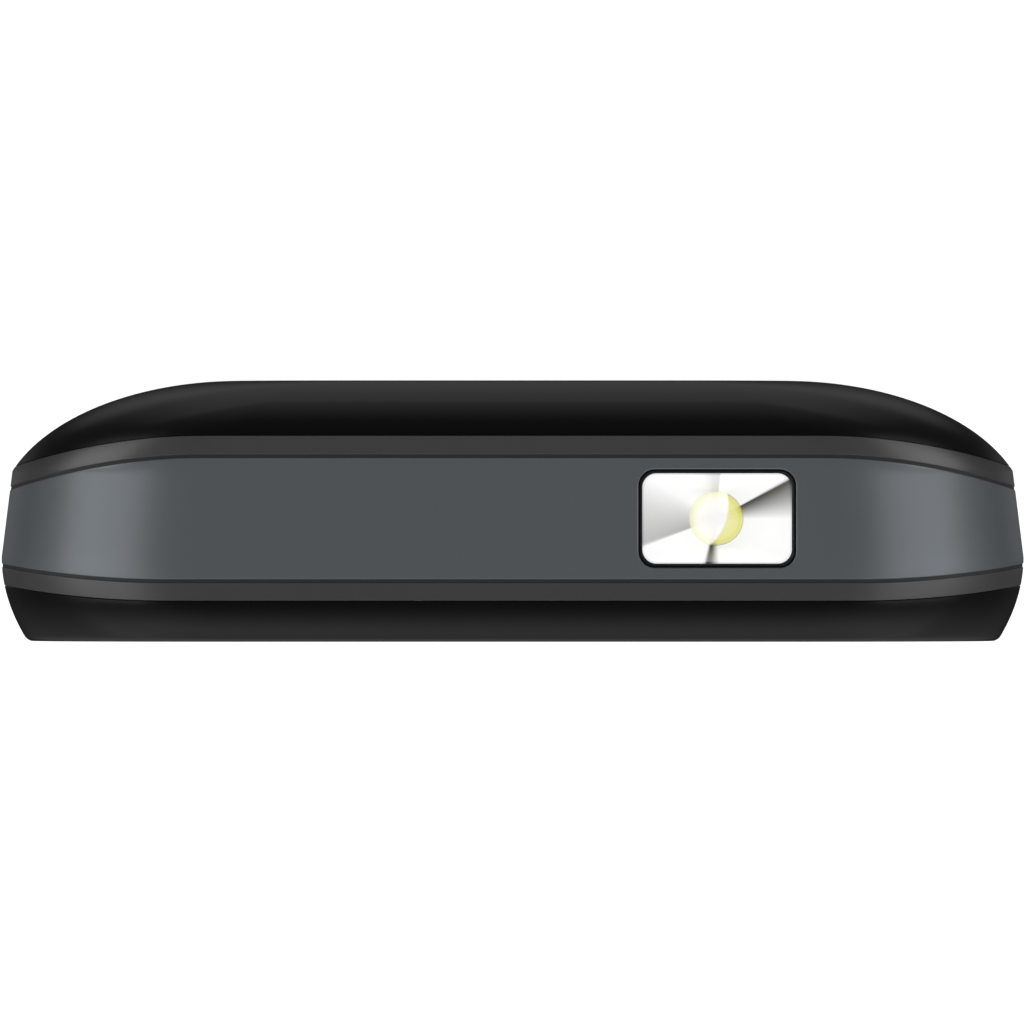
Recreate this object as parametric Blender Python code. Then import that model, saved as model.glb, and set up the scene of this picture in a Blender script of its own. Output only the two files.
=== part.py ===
"""A bar phone with a torch in its top end, built as the separate pieces of the real object.

The phone stands on its bottom end. X runs to the right as seen from the front, Y from the front
to the back and Z from the bottom to the top. Depths are measured from the front face. All sizes
are in metres.
"""

import bpy
import bmesh
from math import cos, pi, radians, sin, sqrt
from mathutils import Matrix, Vector

# Body
BODY_WIDTH = 0.0500
BODY_LENGTH = 0.1160
BODY_DEPTH = 0.01272
CORNER_RADIUS = 0.0100
CORNER_TIGHTENING_SHARE = 0.4
WAIST_DEPTH = 0.00410
SIDE_FLANK_INSET = 0.00127
END_FLANK_INSET = 0.00065
FRONT_EDGE_RADIUS = 0.00025
CREASE_INSET = 0.00053
BACK_FLAT_INSET = 0.01162
SIDE_DOME_START = 0.00600
END_DOME_REACH = 0.0035

# Split lines between the layers of the body
FRONT_SPLIT_DEPTH = 0.0020
FRONT_TRIM_DEPTH = 0.00096
REAR_TRIM_DEPTH = 0.0010
COVER_RISE = 0.00269
FRONT_SWEEP = 0.00075
FRONT_SWEEP_RUN = 0.0080
REAR_SWEEP = 0.00171
REAR_SWEEP_RUN = 0.0100
SEAM_GAP = 0.0002
FIT_GAP = 0.0003
CLOSE_GAP = 0.0002

# Walls
RING_WALL = 0.0019
FRONT_WALL = 0.0016
COVER_WALL = 0.0012
COVER_SIDE_SHARE = 0.35
CHASSIS_WALL = 0.0010
CHASSIS_FLOOR = 0.0006
CUT_OVERRUN = 0.0010
WELD_DEPTH = 0.0004

# Display
WINDOW_SIDE_MARGIN = 0.0042
WINDOW_EARPIECE_MARGIN = 0.0022
WINDOW_KEY_MARGIN = 0.0053
WINDOW_THICKNESS = 0.0009
WINDOW_RECESS = 0.00005
WINDOW_CORNER = 0.0030
SCREEN_SIDE_BORDER = 0.0033
SCREEN_END_BORDER = 0.00305
SCREEN_CORNER = 0.0006
PANEL_MARGIN = 0.0020
PANEL_THICKNESS = 0.0014
PANEL_FRAME_WALL = 0.0007
PANEL_FRAME_FLOOR = 0.0004

# Main board
BOARD_DEPTH = 0.0043
BOARD_THICKNESS = 0.0008
BOARD_INSET = 0.0010
BOARD_TOP_MARGIN = 0.0071

# Keys
KEY_RECESS = 0.0001
KEY_EDGE = 0.0003
KEY_CORNER = 0.0010
KEY_HOLE_GAP = 0.00025
KEY_FLANGE = 0.0004
KEY_STEM = 0.0022
KEY_TRAVEL = 0.00025
KEY_STEM_DEPTH = 0.00335
KEYPAD_SIDE_MARGIN = 0.0046
KEYPAD_BOTTOM_MARGIN = 0.0067
NUMBER_KEY_HEIGHT = 0.0062
NUMBER_KEY_GAP_X = 0.0012
NUMBER_KEY_GAP_Z = 0.0014
SIDE_KEY_HEIGHT = 0.0056
SIDE_KEY_GAP_Z = 0.0020
NAV_KEY_GAP_X = 0.0015
NAV_KEY_GAP_Z = 0.0025
NAV_WIDTH = 0.0156
NAV_CORNER = 0.0030
SELECT_WIDTH = 0.0064
SELECT_LENGTH = 0.0054
MAT_DEPTH = 0.0026
MAT_THICKNESS = 0.0007
MAT_MARGIN = 0.0006
DOME_SHEET_THICKNESS = 0.0002
DOME_HEIGHT = 0.00015
DOME_RADIUS = 0.0021
DOME_TOP_SHARE = 0.6

# Screws and their bosses
SCREW_HEAD_RADIUS = 0.0013
SCREW_HEAD_THICKNESS = 0.0009
SCREW_SHANK_RADIUS = 0.0006
SCREW_DRIVE_RADIUS = 0.0005
SCREW_DRIVE_DEPTH = 0.0004
SCREW_TIP_DEPTH = 0.0028
BOSS_RADIUS = 0.0014
SCREW_JACK_MARGIN = 0.0028
BOTTOM_SCREW_HEIGHT = 0.0040
MIDDLE_SCREW_SIDE_MARGIN = 0.0048
SCREW_KEYPAD_MARGIN = 0.0031
TOP_SCREW_SIDE_MARGIN = 0.0068
TOP_SCREW_END_MARGIN = 0.0050

# Chassis
LEDGE_RISE_SHARE = 0.4963
PLATEAU_DROP = 0.00232
PLATEAU_CORNER = 0.0060
PLATEAU_END_MARGIN = 0.0030
ROOF_THICKNESS = 0.0008
POCKET_CORNER = 0.0008
SOCKET_BAY_END_MARGIN = 0.0195

# Battery
BATTERY_SIDE_MARGIN = 0.0080
BATTERY_CARD_MARGIN = 0.0044
BATTERY_BACK_GAP = 0.00062
BATTERY_BOTTOM_HEIGHT = 0.0147
BATTERY_CORNER = 0.0012
CONTACT_WIDTH = 0.0090
CONTACT_LENGTH = 0.0024
CONTACT_RISE = 0.0036

# Card sockets
SOCKET_EDGE_MARGIN = 0.0004
SOCKET_GAP = 0.0024
SIM_LENGTH = 0.0134
SIM_THICKNESS = 0.0017
SOCKET_ROW_GAP = 0.0015
MEMORY_LENGTH = 0.0086
MEMORY_BAY_MARGIN = 0.0007
MEMORY_BASE_THICKNESS = 0.0010
GATE_THICKNESS = 0.0003
GATE_LENGTH = 0.0078
SHIELD_THICKNESS = 0.0013
SOCKET_CORNER = 0.0005

# Torch
TORCH_SIDE_MARGIN = 0.01506
TORCH_OPENING_WIDTH = 0.00766
TORCH_EDGE_MARGIN = 0.000645
TORCH_CORNER = 0.0008
TORCH_GAP = 0.00015
TORCH_WINDOW_THICKNESS = 0.0009
TORCH_REFLECTOR_LENGTH = 0.0048
TORCH_REFLECTOR_WALL = 0.0004
TORCH_SEAT_RADIUS = 0.0017
TORCH_GASKET_LENGTH = 0.0011
TORCH_GASKET_WALL = 0.0009
LED_RADIUS = 0.0013
LED_BASE_SIZE = 0.0030

# Camera, loudspeaker and motor
CAMERA_END_MARGIN = 0.0140
CAMERA_SIZE = 0.0080
CAMERA_BARREL_RADIUS = 0.0024
CAMERA_BARREL_RISE = 0.0008
CAMERA_WINDOW_RADIUS = 0.0030
CAMERA_WINDOW_THICKNESS = 0.0005
CAMERA_SIGHT_RADIUS = 0.0022
SPEAKER_CAMERA_MARGIN = 0.0010
SPEAKER_WALL_MARGIN = 0.0013
SPEAKER_END_MARGIN = 0.0112
SPEAKER_LENGTH = 0.0140
SPEAKER_CORNER = 0.0020
SLOT_COUNT = 4
SLOT_WIDTH = 0.0060
SLOT_HEIGHT = 0.0008
SLOT_PITCH = 0.0018
MESH_THICKNESS = 0.0002
MESH_MARGIN = 0.0008
MOTOR_END_MARGIN = 0.0160
MOTOR_CAMERA_MARGIN = 0.0018
MOTOR_WALL_MARGIN = 0.0008
MOTOR_ROOF_GAP = 0.0003
SHAFT_RADIUS = 0.0004
WEIGHT_CLEARANCE = 0.0001
WEIGHT_HUB_RADIUS = 0.0009
WEIGHT_LENGTH = 0.0030

# Earpiece
EARPIECE_END_MARGIN = 0.0045
EARPIECE_WIDTH = 0.0104
EARPIECE_LENGTH = 0.0036
EARPIECE_RISE = 0.0020
EARPIECE_SLOT_WIDTH = 0.0080
EARPIECE_SLOT_HEIGHT = 0.0012
EARPIECE_SLOT_LIP = 0.0004

# Bottom end
USB_WIDTH = 0.0076
USB_RISE = 0.0026
USB_LENGTH = 0.0054
USB_MOUTH_WIDTH = 0.0068
USB_MOUTH_HEIGHT = 0.0018
USB_MOUTH_LENGTH = 0.0044
USB_CORNER = 0.0006
JACK_X = -0.0078
JACK_DEPTH = 0.0069
JACK_SIZE = 0.0052
JACK_LENGTH = 0.0106
JACK_BORE_RADIUS = 0.00178
JACK_BORE_LENGTH = 0.0092
MICROPHONE_X = 0.0080
MICROPHONE_WIDTH = 0.0040
MICROPHONE_LENGTH = 0.0030
MICROPHONE_RISE = 0.0012
MICROPHONE_HOLE_RADIUS = 0.0005
ANTENNA_X = 0.0105
ANTENNA_HEIGHT = 0.0085
ANTENNA_WIDTH = 0.0100
ANTENNA_LENGTH = 0.0080
ANTENNA_THICKNESS = 0.0005

# Cover clips and the notch to lift it by
CLIP_LENGTH = 0.0040
CLIP_THICKNESS = 0.0006
CLIP_DROP = 0.0012
CLIP_LOW_HEIGHT = 0.0300
CLIP_END_MARGIN = 0.0360
CLIP_RELIEF = 0.0003
NOTCH_RADIUS = 0.0040
NOTCH_REACH = 0.0007

# How finely round shapes are drawn
CORNER_STEPS = 7
SMALL_CORNER_STEPS = 2
WALL_ROWS = 2
FLANK_ROWS = 3
EDGE_ROWS = 3
DOME_ROWS = 7
INNER_DOME_ROWS = 4
SMALL_ROUND_SIDES = 12
ROUND_SIDES = 20
HALF_ROUND_SIDES = 10
MIRROR_ROWS = 3
LAMP_ROWS = 4
SEAM_PASSES = 12

HALF_WIDTH = BODY_WIDTH / 2
HALF_LENGTH = BODY_LENGTH / 2
HALF_DEPTH = BODY_DEPTH / 2
MID_HEIGHT = HALF_LENGTH
COVER_SPLIT_DEPTH = BODY_DEPTH - COVER_RISE
CREASE_DEPTH = COVER_SPLIT_DEPTH - REAR_SWEEP
SIDE_DOME_DROP = BODY_DEPTH - SIDE_DOME_START
BOARD_BACK = BOARD_DEPTH + BOARD_THICKNESS
FLOOR_DEPTH = BOARD_BACK + FIT_GAP
FLOOR_BACK = FLOOR_DEPTH + CHASSIS_FLOOR
LEDGE_DEPTH = FLOOR_BACK + LEDGE_RISE_SHARE * (COVER_SPLIT_DEPTH - FLOOR_BACK)
PLATEAU_DEPTH = BODY_DEPTH - PLATEAU_DROP
BATTERY_FRONT = FLOOR_BACK + CLOSE_GAP
BATTERY_THICKNESS = BODY_DEPTH - COVER_WALL - BATTERY_BACK_GAP - BATTERY_FRONT

# Keypad, from the bottom row up
NUMBER_KEY_WIDTH = (BODY_WIDTH - 2 * (KEYPAD_SIDE_MARGIN + NUMBER_KEY_GAP_X)) / 3
NUMBER_KEY_PITCH_X = NUMBER_KEY_WIDTH + NUMBER_KEY_GAP_X
NUMBER_KEY_PITCH_Z = NUMBER_KEY_HEIGHT + NUMBER_KEY_GAP_Z
NUMBER_ROWS = 4
BOTTOM_ROW_HEIGHT = KEYPAD_BOTTOM_MARGIN + NUMBER_KEY_HEIGHT / 2
NUMBERS_TOP = BOTTOM_ROW_HEIGHT + (NUMBER_ROWS - 1) * NUMBER_KEY_PITCH_Z + NUMBER_KEY_HEIGHT / 2
CALL_ROW_HEIGHT = NUMBERS_TOP + NAV_KEY_GAP_Z + SIDE_KEY_HEIGHT / 2
SOFT_ROW_HEIGHT = CALL_ROW_HEIGHT + SIDE_KEY_HEIGHT + SIDE_KEY_GAP_Z
KEYPAD_TOP = SOFT_ROW_HEIGHT + SIDE_KEY_HEIGHT / 2
NAV_LENGTH = 2 * SIDE_KEY_HEIGHT + SIDE_KEY_GAP_Z
NAV_HEIGHT = (CALL_ROW_HEIGHT + SOFT_ROW_HEIGHT) / 2
SIDE_KEY_WIDTH = HALF_WIDTH - KEYPAD_SIDE_MARGIN - NAV_WIDTH / 2 - NAV_KEY_GAP_X
SIDE_KEY_CENTRE = HALF_WIDTH - KEYPAD_SIDE_MARGIN - SIDE_KEY_WIDTH / 2

# Display, between the keypad and the earpiece
EARPIECE_HEIGHT = BODY_LENGTH - EARPIECE_END_MARGIN
WINDOW_TOP = EARPIECE_HEIGHT - WINDOW_EARPIECE_MARGIN
WINDOW_LOW = KEYPAD_TOP + WINDOW_KEY_MARGIN
WINDOW_WIDTH = BODY_WIDTH - 2 * WINDOW_SIDE_MARGIN
WINDOW_LENGTH = WINDOW_TOP - WINDOW_LOW
DISPLAY_CENTRE_HEIGHT = (WINDOW_TOP + WINDOW_LOW) / 2
SCREEN_WIDTH = WINDOW_WIDTH - 2 * SCREEN_SIDE_BORDER
SCREEN_LENGTH = WINDOW_LENGTH - 2 * SCREEN_END_BORDER

# Torch, in the middle of the slate frame
FRAME_FRONT = FRONT_SPLIT_DEPTH + FRONT_TRIM_DEPTH
FRAME_BACK = COVER_SPLIT_DEPTH - REAR_TRIM_DEPTH
TORCH_X = HALF_WIDTH - TORCH_SIDE_MARGIN
TORCH_DEPTH = (FRAME_FRONT + FRAME_BACK) / 2
TORCH_OPENING_DEPTH = FRAME_BACK - FRAME_FRONT - 2 * TORCH_EDGE_MARGIN

# Inside, from the top end down
BOARD_TOP_HEIGHT = BODY_LENGTH - BOARD_TOP_MARGIN
PLATEAU_TOP_HEIGHT = BODY_LENGTH - PLATEAU_END_MARGIN
SOCKET_BAY_TOP_HEIGHT = BODY_LENGTH - SOCKET_BAY_END_MARGIN
MEMORY_CENTRE_HEIGHT = SOCKET_BAY_TOP_HEIGHT - MEMORY_BAY_MARGIN - MEMORY_LENGTH / 2
SIM_CENTRE_HEIGHT = (MEMORY_CENTRE_HEIGHT - MEMORY_LENGTH / 2 - SOCKET_ROW_GAP
                     - SIM_LENGTH / 2)
BATTERY_WIDTH = BODY_WIDTH - 2 * BATTERY_SIDE_MARGIN
BATTERY_LENGTH = (SIM_CENTRE_HEIGHT - SIM_LENGTH / 2 - BATTERY_CARD_MARGIN
                  - BATTERY_BOTTOM_HEIGHT)
BAY_HALF_WIDTH = BATTERY_WIDTH / 2 + FIT_GAP
SIM_WIDTH = (BATTERY_WIDTH - SOCKET_GAP) / 2 - SOCKET_EDGE_MARGIN
MEMORY_WIDTH = SIM_WIDTH - SOCKET_EDGE_MARGIN
SOCKET_SPACING = SIM_WIDTH + SOCKET_GAP
CAMERA_HEIGHT = BODY_LENGTH - CAMERA_END_MARGIN
SPEAKER_HEIGHT = BODY_LENGTH - SPEAKER_END_MARGIN
SPEAKER_IN = CAMERA_SIZE / 2 + SPEAKER_CAMERA_MARGIN
SPEAKER_OUT = BAY_HALF_WIDTH - SPEAKER_WALL_MARGIN
SPEAKER_WIDTH = SPEAKER_OUT - SPEAKER_IN
SPEAKER_X = -(SPEAKER_IN + SPEAKER_OUT) / 2
MOTOR_HEIGHT = BODY_LENGTH - MOTOR_END_MARGIN
MOTOR_X = CAMERA_SIZE / 2 + MOTOR_CAMERA_MARGIN

# The room for a component between the board and the chassis's roof
ROOF_ROOM = PLATEAU_DEPTH - ROOF_THICKNESS - CLOSE_GAP - (BOARD_BACK + CLOSE_GAP)
MOTOR_RADIUS = (ROOF_ROOM - MOTOR_ROOF_GAP) / 2
WEIGHT_RADIUS = MOTOR_RADIUS - WEIGHT_CLEARANCE
MOTOR_LENGTH = BAY_HALF_WIDTH - MOTOR_WALL_MARGIN - WEIGHT_LENGTH - FIT_GAP - MOTOR_X
CLIP_HIGH_HEIGHT = BODY_LENGTH - CLIP_END_MARGIN

# Screws, in three pairs
BOTTOM_SCREW_X = JACK_SIZE / 2 - JACK_X + SCREW_JACK_MARGIN
MIDDLE_SCREW_X = HALF_WIDTH - MIDDLE_SCREW_SIDE_MARGIN
MIDDLE_SCREW_HEIGHT = KEYPAD_TOP + SCREW_KEYPAD_MARGIN
TOP_SCREW_X = HALF_WIDTH - TOP_SCREW_SIDE_MARGIN
TOP_SCREW_HEIGHT = BODY_LENGTH - TOP_SCREW_END_MARGIN
SCREWS = [
    (side * across, height)
    for across, height in (
        (BOTTOM_SCREW_X, BOTTOM_SCREW_HEIGHT),
        (MIDDLE_SCREW_X, MIDDLE_SCREW_HEIGHT),
        (TOP_SCREW_X, TOP_SCREW_HEIGHT),
    )
    for side in (-1, 1)
]

# Colour, roughness and metallic value of each finish
FINISHES = {
    "black_gloss": ((0.012, 0.012, 0.013), 0.22, 0.0),
    "trim_grey": ((0.045, 0.045, 0.045), 0.35, 0.3),
    "slate_paint": ((0.075, 0.083, 0.088), 0.35, 0.5),
    "chassis_black": ((0.020, 0.020, 0.021), 0.55, 0.0),
    "clear_window": ((0.55, 0.57, 0.58), 0.08, 0.0),
    "screen_glass": ((0.010, 0.011, 0.013), 0.10, 0.0),
    "bright_steel": ((0.62, 0.62, 0.61), 0.30, 1.0),
    "silver_mirror": ((0.85, 0.85, 0.86), 0.12, 1.0),
    "gold_contact": ((0.80, 0.62, 0.28), 0.28, 1.0),
    "board_green": ((0.020, 0.075, 0.040), 0.50, 0.0),
    "led_yellow": ((0.82, 0.80, 0.28), 0.25, 0.0),
    "soft_rubber": ((0.25, 0.25, 0.25), 0.75, 0.0),
    "battery_label": ((0.30, 0.31, 0.33), 0.50, 0.0),
    "amber_sheet": ((0.45, 0.20, 0.04), 0.35, 0.0),
}


def clear_scene():
    """Empties the scene, so that the model stands alone."""
    for item in list(bpy.data.objects):
        bpy.data.objects.remove(item, do_unlink=True)


def finish(name):
    """The material of a finish, made the first time that it is asked for."""
    made = bpy.data.materials.get(name)
    if made:
        return made
    colour, roughness, metallic = FINISHES[name]
    made = bpy.data.materials.new(name)
    made.use_nodes = True
    shader = made.node_tree.nodes["Principled BSDF"]
    shader.inputs["Base Color"].default_value = (*colour, 1)
    shader.inputs["Roughness"].default_value = roughness
    shader.inputs["Metallic"].default_value = metallic
    made.diffuse_color = (*colour, 1)
    return made


def back_of(depth):
    """The Y of a depth below the front face."""
    return depth - HALF_DEPTH


def rounded_outline(half_x, half_z, radius, steps, centre=(0, 0)):
    """Points (x, z) round a rectangle with round corners, from its right side upwards."""
    round_off = min(radius, half_x, half_z)
    points = []
    for corner, (sign_x, sign_z) in enumerate(((1, 1), (-1, 1), (-1, -1), (1, -1))):
        for step in range(steps + 1):
            angle = (corner + step / steps) * pi / 2
            points.append((
                centre[0] + sign_x * (half_x - round_off) + round_off * cos(angle),
                centre[1] + sign_z * (half_z - round_off) + round_off * sin(angle),
            ))
    return points


def round_outline(radius, sides, centre=(0, 0)):
    """Points (x, z) round a circle."""
    angles = (2 * pi * side / sides for side in range(sides))
    return [(centre[0] + radius * cos(angle), centre[1] + radius * sin(angle)) for angle in angles]


def at_depth(outline, depth):
    """A ring of points from an outline, at one depth."""
    return [Vector((x, back_of(depth), z)) for x, z in outline]


def across_height(outline, height, centre_depth):
    """A ring of points from an outline drawn in X and depth, at one height."""
    return [Vector((x, back_of(centre_depth + depth), height)) for x, depth in outline]


def loft(name, rings, look, closed=False):
    """A solid whose skin runs from ring to ring. Its ends are capped, or joined if it is closed."""
    shape = bmesh.new()
    loops = [[shape.verts.new(point) for point in ring] for ring in rings]
    following = loops[1:] + ([loops[0]] if closed else [])
    for near, far in zip(loops, following):
        for place in range(len(near)):
            after = (place + 1) % len(near)
            shape.faces.new((near[place], near[after], far[after], far[place]))
    if not closed:
        shape.faces.new(reversed(loops[0]))
        shape.faces.new(loops[-1])
    bmesh.ops.recalc_face_normals(shape, faces=shape.faces)
    mesh = bpy.data.meshes.new(name)
    shape.to_mesh(mesh)
    shape.free()
    mesh.shade_smooth()
    mesh.set_sharp_from_angle(angle=radians(30))
    made = bpy.data.objects.new(name, mesh)
    bpy.context.scene.collection.objects.link(made)
    if look:
        made.data.materials.append(finish(look))
    return made


def slab(name, outline, front, back, look=None):
    """A flat piece with one outline, between two depths."""
    return loft(name, [at_depth(outline, front), at_depth(outline, back)], look)


def bevelled_slab(name, half_x, half_z, radius, front, back, edge, look, centre=(0, 0)):
    """A flat piece with round corners and a small bevel along its front and back edges."""
    def ring(inset, depth):
        inner = max(radius - inset, edge)
        outline = rounded_outline(half_x - inset, half_z - inset, inner, SMALL_CORNER_STEPS, centre)
        return at_depth(outline, depth)

    levels = ((edge, front), (0, front + edge), (0, back - edge), (edge, back))
    return loft(name, [ring(inset, depth) for inset, depth in levels], look)


def as_guide(piece):
    """Marks a cutter or a welded-in shape, which isn't part of the model."""
    piece.hide_render = True
    piece.display_type = "WIRE"
    return piece


def joined(name, pieces):
    """One guide out of several that don't touch each other."""
    shape = bmesh.new()
    for piece in pieces:
        shape.from_mesh(piece.data)
        bpy.data.objects.remove(piece, do_unlink=True)
    mesh = bpy.data.meshes.new(name)
    shape.to_mesh(mesh)
    shape.free()
    made = bpy.data.objects.new(name, mesh)
    bpy.context.scene.collection.objects.link(made)
    return as_guide(made)


def change(piece, operation, guides, title):
    """Cuts guides from a piece or welds them to it."""
    modifier = piece.modifiers.new(title, "BOOLEAN")
    modifier.operation = operation
    modifier.solver = "EXACT"
    modifier.object = joined(f"{piece.name}_{title}", guides)


def cut(piece, guides, title):
    change(piece, "DIFFERENCE", guides, title)


def weld(piece, guides, title):
    change(piece, "UNION", guides, title)


def move_origin(piece, origin):
    """Puts a piece's origin at a point of its joint's axis, with its shape where it was."""
    offset = Vector(origin)
    piece.data.transform(Matrix.Translation(-offset))
    piece.location = offset


def carried_by(parent, pieces):
    """Parents pieces to an empty, with their places kept."""
    for piece in pieces:
        piece.parent = parent
        piece.location = piece.location - parent.location


def empty(name, place=(0, 0, 0)):
    """A named place that pieces are carried by."""
    made = bpy.data.objects.new(name, None)
    made.location = place
    bpy.context.scene.collection.objects.link(made)
    return made


def front_flank(depth, reach, inset):
    """How far the body draws in between a depth and the front face, round edge included."""
    drawn = inset * max(0, 1 - depth / reach) ** 2
    if depth < FRONT_EDGE_RADIUS:
        rest = FRONT_EDGE_RADIUS - depth
        drawn += FRONT_EDGE_RADIUS - sqrt(FRONT_EDGE_RADIUS ** 2 - rest ** 2)
    return drawn


def dome_share(depth, drop):
    """How wide an elliptic dome is at a depth, from 0 at the back face to 1 a drop below it."""
    below = min(max((BODY_DEPTH - depth) / drop, 0), 1)
    return sqrt(2 * below - below ** 2)


def side_half_width(depth):
    """Half the body's width: a flank, a straight taper from the waist and a dome at the back."""
    if depth <= WAIST_DEPTH:
        return HALF_WIDTH - front_flank(depth, WAIST_DEPTH, SIDE_FLANK_INSET)
    if depth <= CREASE_DEPTH:
        return HALF_WIDTH - CREASE_INSET * (depth - WAIST_DEPTH) / (CREASE_DEPTH - WAIST_DEPTH)
    widest = BACK_FLAT_INSET - CREASE_INSET
    shape = dome_share(depth, SIDE_DOME_DROP) / dome_share(CREASE_DEPTH, SIDE_DOME_DROP)
    return HALF_WIDTH - BACK_FLAT_INSET + widest * shape


def end_half_length(depth):
    """Half the body's length: a flank, an end that is flat to stand on and a dome at the back."""
    flank = front_flank(depth, FRONT_SPLIT_DEPTH, END_FLANK_INSET)
    dome = END_DOME_REACH * (1 - dome_share(depth, BODY_DEPTH - COVER_SPLIT_DEPTH))
    return HALF_LENGTH - flank - dome


def body_outline(depth, inset=0):
    """The body's outline (x, z) at a depth, drawn in by an inset."""
    half_x = side_half_width(depth)
    radius = CORNER_RADIUS - CORNER_TIGHTENING_SHARE * (HALF_WIDTH - half_x)
    centre = (0, MID_HEIGHT)
    half_z = end_half_length(depth)
    return rounded_outline(half_x - inset, half_z - inset, radius - inset, CORNER_STEPS, centre)


def inner_outline(inset=0):
    """The outline of the space inside the rings, drawn in by an inset."""
    whole = RING_WALL + inset
    half_z = HALF_LENGTH - whole
    radius = CORNER_RADIUS - whole
    return rounded_outline(HALF_WIDTH - whole, half_z, radius, CORNER_STEPS, (0, MID_HEIGHT))


def cover_inside_outline(depth):
    """The outline of the battery cover's inner skin at a depth."""
    return body_outline(depth + COVER_WALL, COVER_SIDE_SHARE * COVER_WALL)


def front_seam(split, offset):
    """A split line that runs level at the ends and rises to the back along the sides."""
    def depth_at(x):
        share = max(0, abs(x) - (HALF_WIDTH - FRONT_SWEEP_RUN)) / FRONT_SWEEP_RUN
        return split + offset + FRONT_SWEEP * min(share, 1) ** 2

    return depth_at


def rear_seam(split, offset):
    """A split line that runs level at the ends and falls to the front along the sides."""
    def depth_at(x):
        share = max(0, abs(x) - (HALF_WIDTH - REAR_SWEEP_RUN)) / REAR_SWEEP_RUN
        return split + offset - REAR_SWEEP * min(share, 1) ** 2

    return depth_at


def meet(outline_at, seam):
    """The depths, one for each point of the outline, at which a skin meets a split line."""
    count = len(outline_at(seam(0)))
    depths = [seam(0)] * count
    for _ in range(SEAM_PASSES):
        depths = [seam(outline_at(depth)[place][0]) for place, depth in enumerate(depths)]
    return depths


def skin_ring(outline_at, depths):
    """A ring of points on a skin, with its own depth for each point."""
    ring = []
    for place, depth in enumerate(depths):
        x, z = outline_at(depth)[place]
        ring.append(Vector((x, back_of(depth), z)))
    return ring


def between(low, high, share):
    """Depths part of the way from one row of depths to another."""
    return [near + (far - near) * share for near, far in zip(low, high)]


def seam_on_inner(seam, inset=0):
    """A ring of points on the straight inner wall, on a split line."""
    return [Vector((x, back_of(seam(x)), z)) for x, z in inner_outline(inset)]


def band(name, low_seam, high_seam, look):
    """One of the rings that are stacked round the phone."""
    low = meet(body_outline, low_seam)
    high = meet(body_outline, high_seam)
    shares = [row / WALL_ROWS for row in range(WALL_ROWS + 1)]
    rings = [skin_ring(body_outline, between(low, high, share)) for share in shares]
    rings += [seam_on_inner(high_seam), seam_on_inner(low_seam)]
    return loft(name, rings, look, closed=True)


def make_front_housing():
    """The front plate with its rim, window seat, key holes, sound slot and screw bosses."""
    seam = front_seam(FRONT_SPLIT_DEPTH, -SEAM_GAP / 2)
    edge = [FRONT_EDGE_RADIUS * (1 - cos(pi / 2 * row / EDGE_ROWS)) for row in range(EDGE_ROWS)]
    rings = [at_depth(body_outline(depth), depth) for depth in edge]
    start = [FRONT_EDGE_RADIUS] * len(rings[0])
    end = meet(body_outline, seam)
    for row in range(FLANK_ROWS + 1):
        rings.append(skin_ring(body_outline, between(start, end, row / FLANK_ROWS)))
    rings += [seam_on_inner(seam), at_depth(inner_outline(), FRONT_WALL)]
    housing = loft("front_housing", rings, "black_gloss")

    boss_back = BOARD_BACK + FIT_GAP / 2
    bosses = [
        slab("boss", round_outline(BOSS_RADIUS, SMALL_ROUND_SIDES, place), FRONT_WALL - WELD_DEPTH,
             boss_back)
        for place in SCREWS
    ]
    weld(housing, bosses, "bosses")
    pilots = [
        slab("pilot", round_outline(SCREW_SHANK_RADIUS + CLOSE_GAP, SMALL_ROUND_SIDES, place),
             SCREW_TIP_DEPTH - FIT_GAP, boss_back + CUT_OVERRUN)
        for place in SCREWS
    ]
    cut(housing, pilots, "pilots")

    holes = [window_seat(), sound_slot()]
    holes += [key_hole(*key[1:]) for key in keys() if key[0] != "select_key"]
    nav_half = (NAV_WIDTH / 2 + KEY_HOLE_GAP, NAV_LENGTH / 2 + KEY_HOLE_GAP)
    nav = rounded_outline(*nav_half, NAV_CORNER + KEY_HOLE_GAP, CORNER_STEPS, (0, NAV_HEIGHT))
    holes.append(slab("nav_hole", nav, -CUT_OVERRUN, FRONT_WALL + CUT_OVERRUN))
    cut(housing, holes, "openings")
    return housing


def window_half_sizes(extra):
    return WINDOW_WIDTH / 2 + extra, WINDOW_LENGTH / 2 + extra


def stepped_hole(name, wide, narrow, step_depth, back):
    """A cutter with a wide front part and a narrow part behind it."""
    front = -CUT_OVERRUN
    rings = [at_depth(wide, front), at_depth(wide, step_depth)]
    rings += [at_depth(narrow, step_depth), at_depth(narrow, back)]
    return loft(name, rings, None)


def window_seat():
    """The seat of the display window and the opening through to the screen."""
    centre = (0, DISPLAY_CENTRE_HEIGHT)
    seat = rounded_outline(*window_half_sizes(CLOSE_GAP), WINDOW_CORNER + CLOSE_GAP,
                           SMALL_CORNER_STEPS, centre)
    opening = rounded_outline(SCREEN_WIDTH / 2, SCREEN_LENGTH / 2, SCREEN_CORNER,
                              SMALL_CORNER_STEPS, centre)
    step = WINDOW_RECESS + WINDOW_THICKNESS + CLOSE_GAP
    return stepped_hole("window_seat", seat, opening, step, FRONT_WALL + CUT_OVERRUN)


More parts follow.
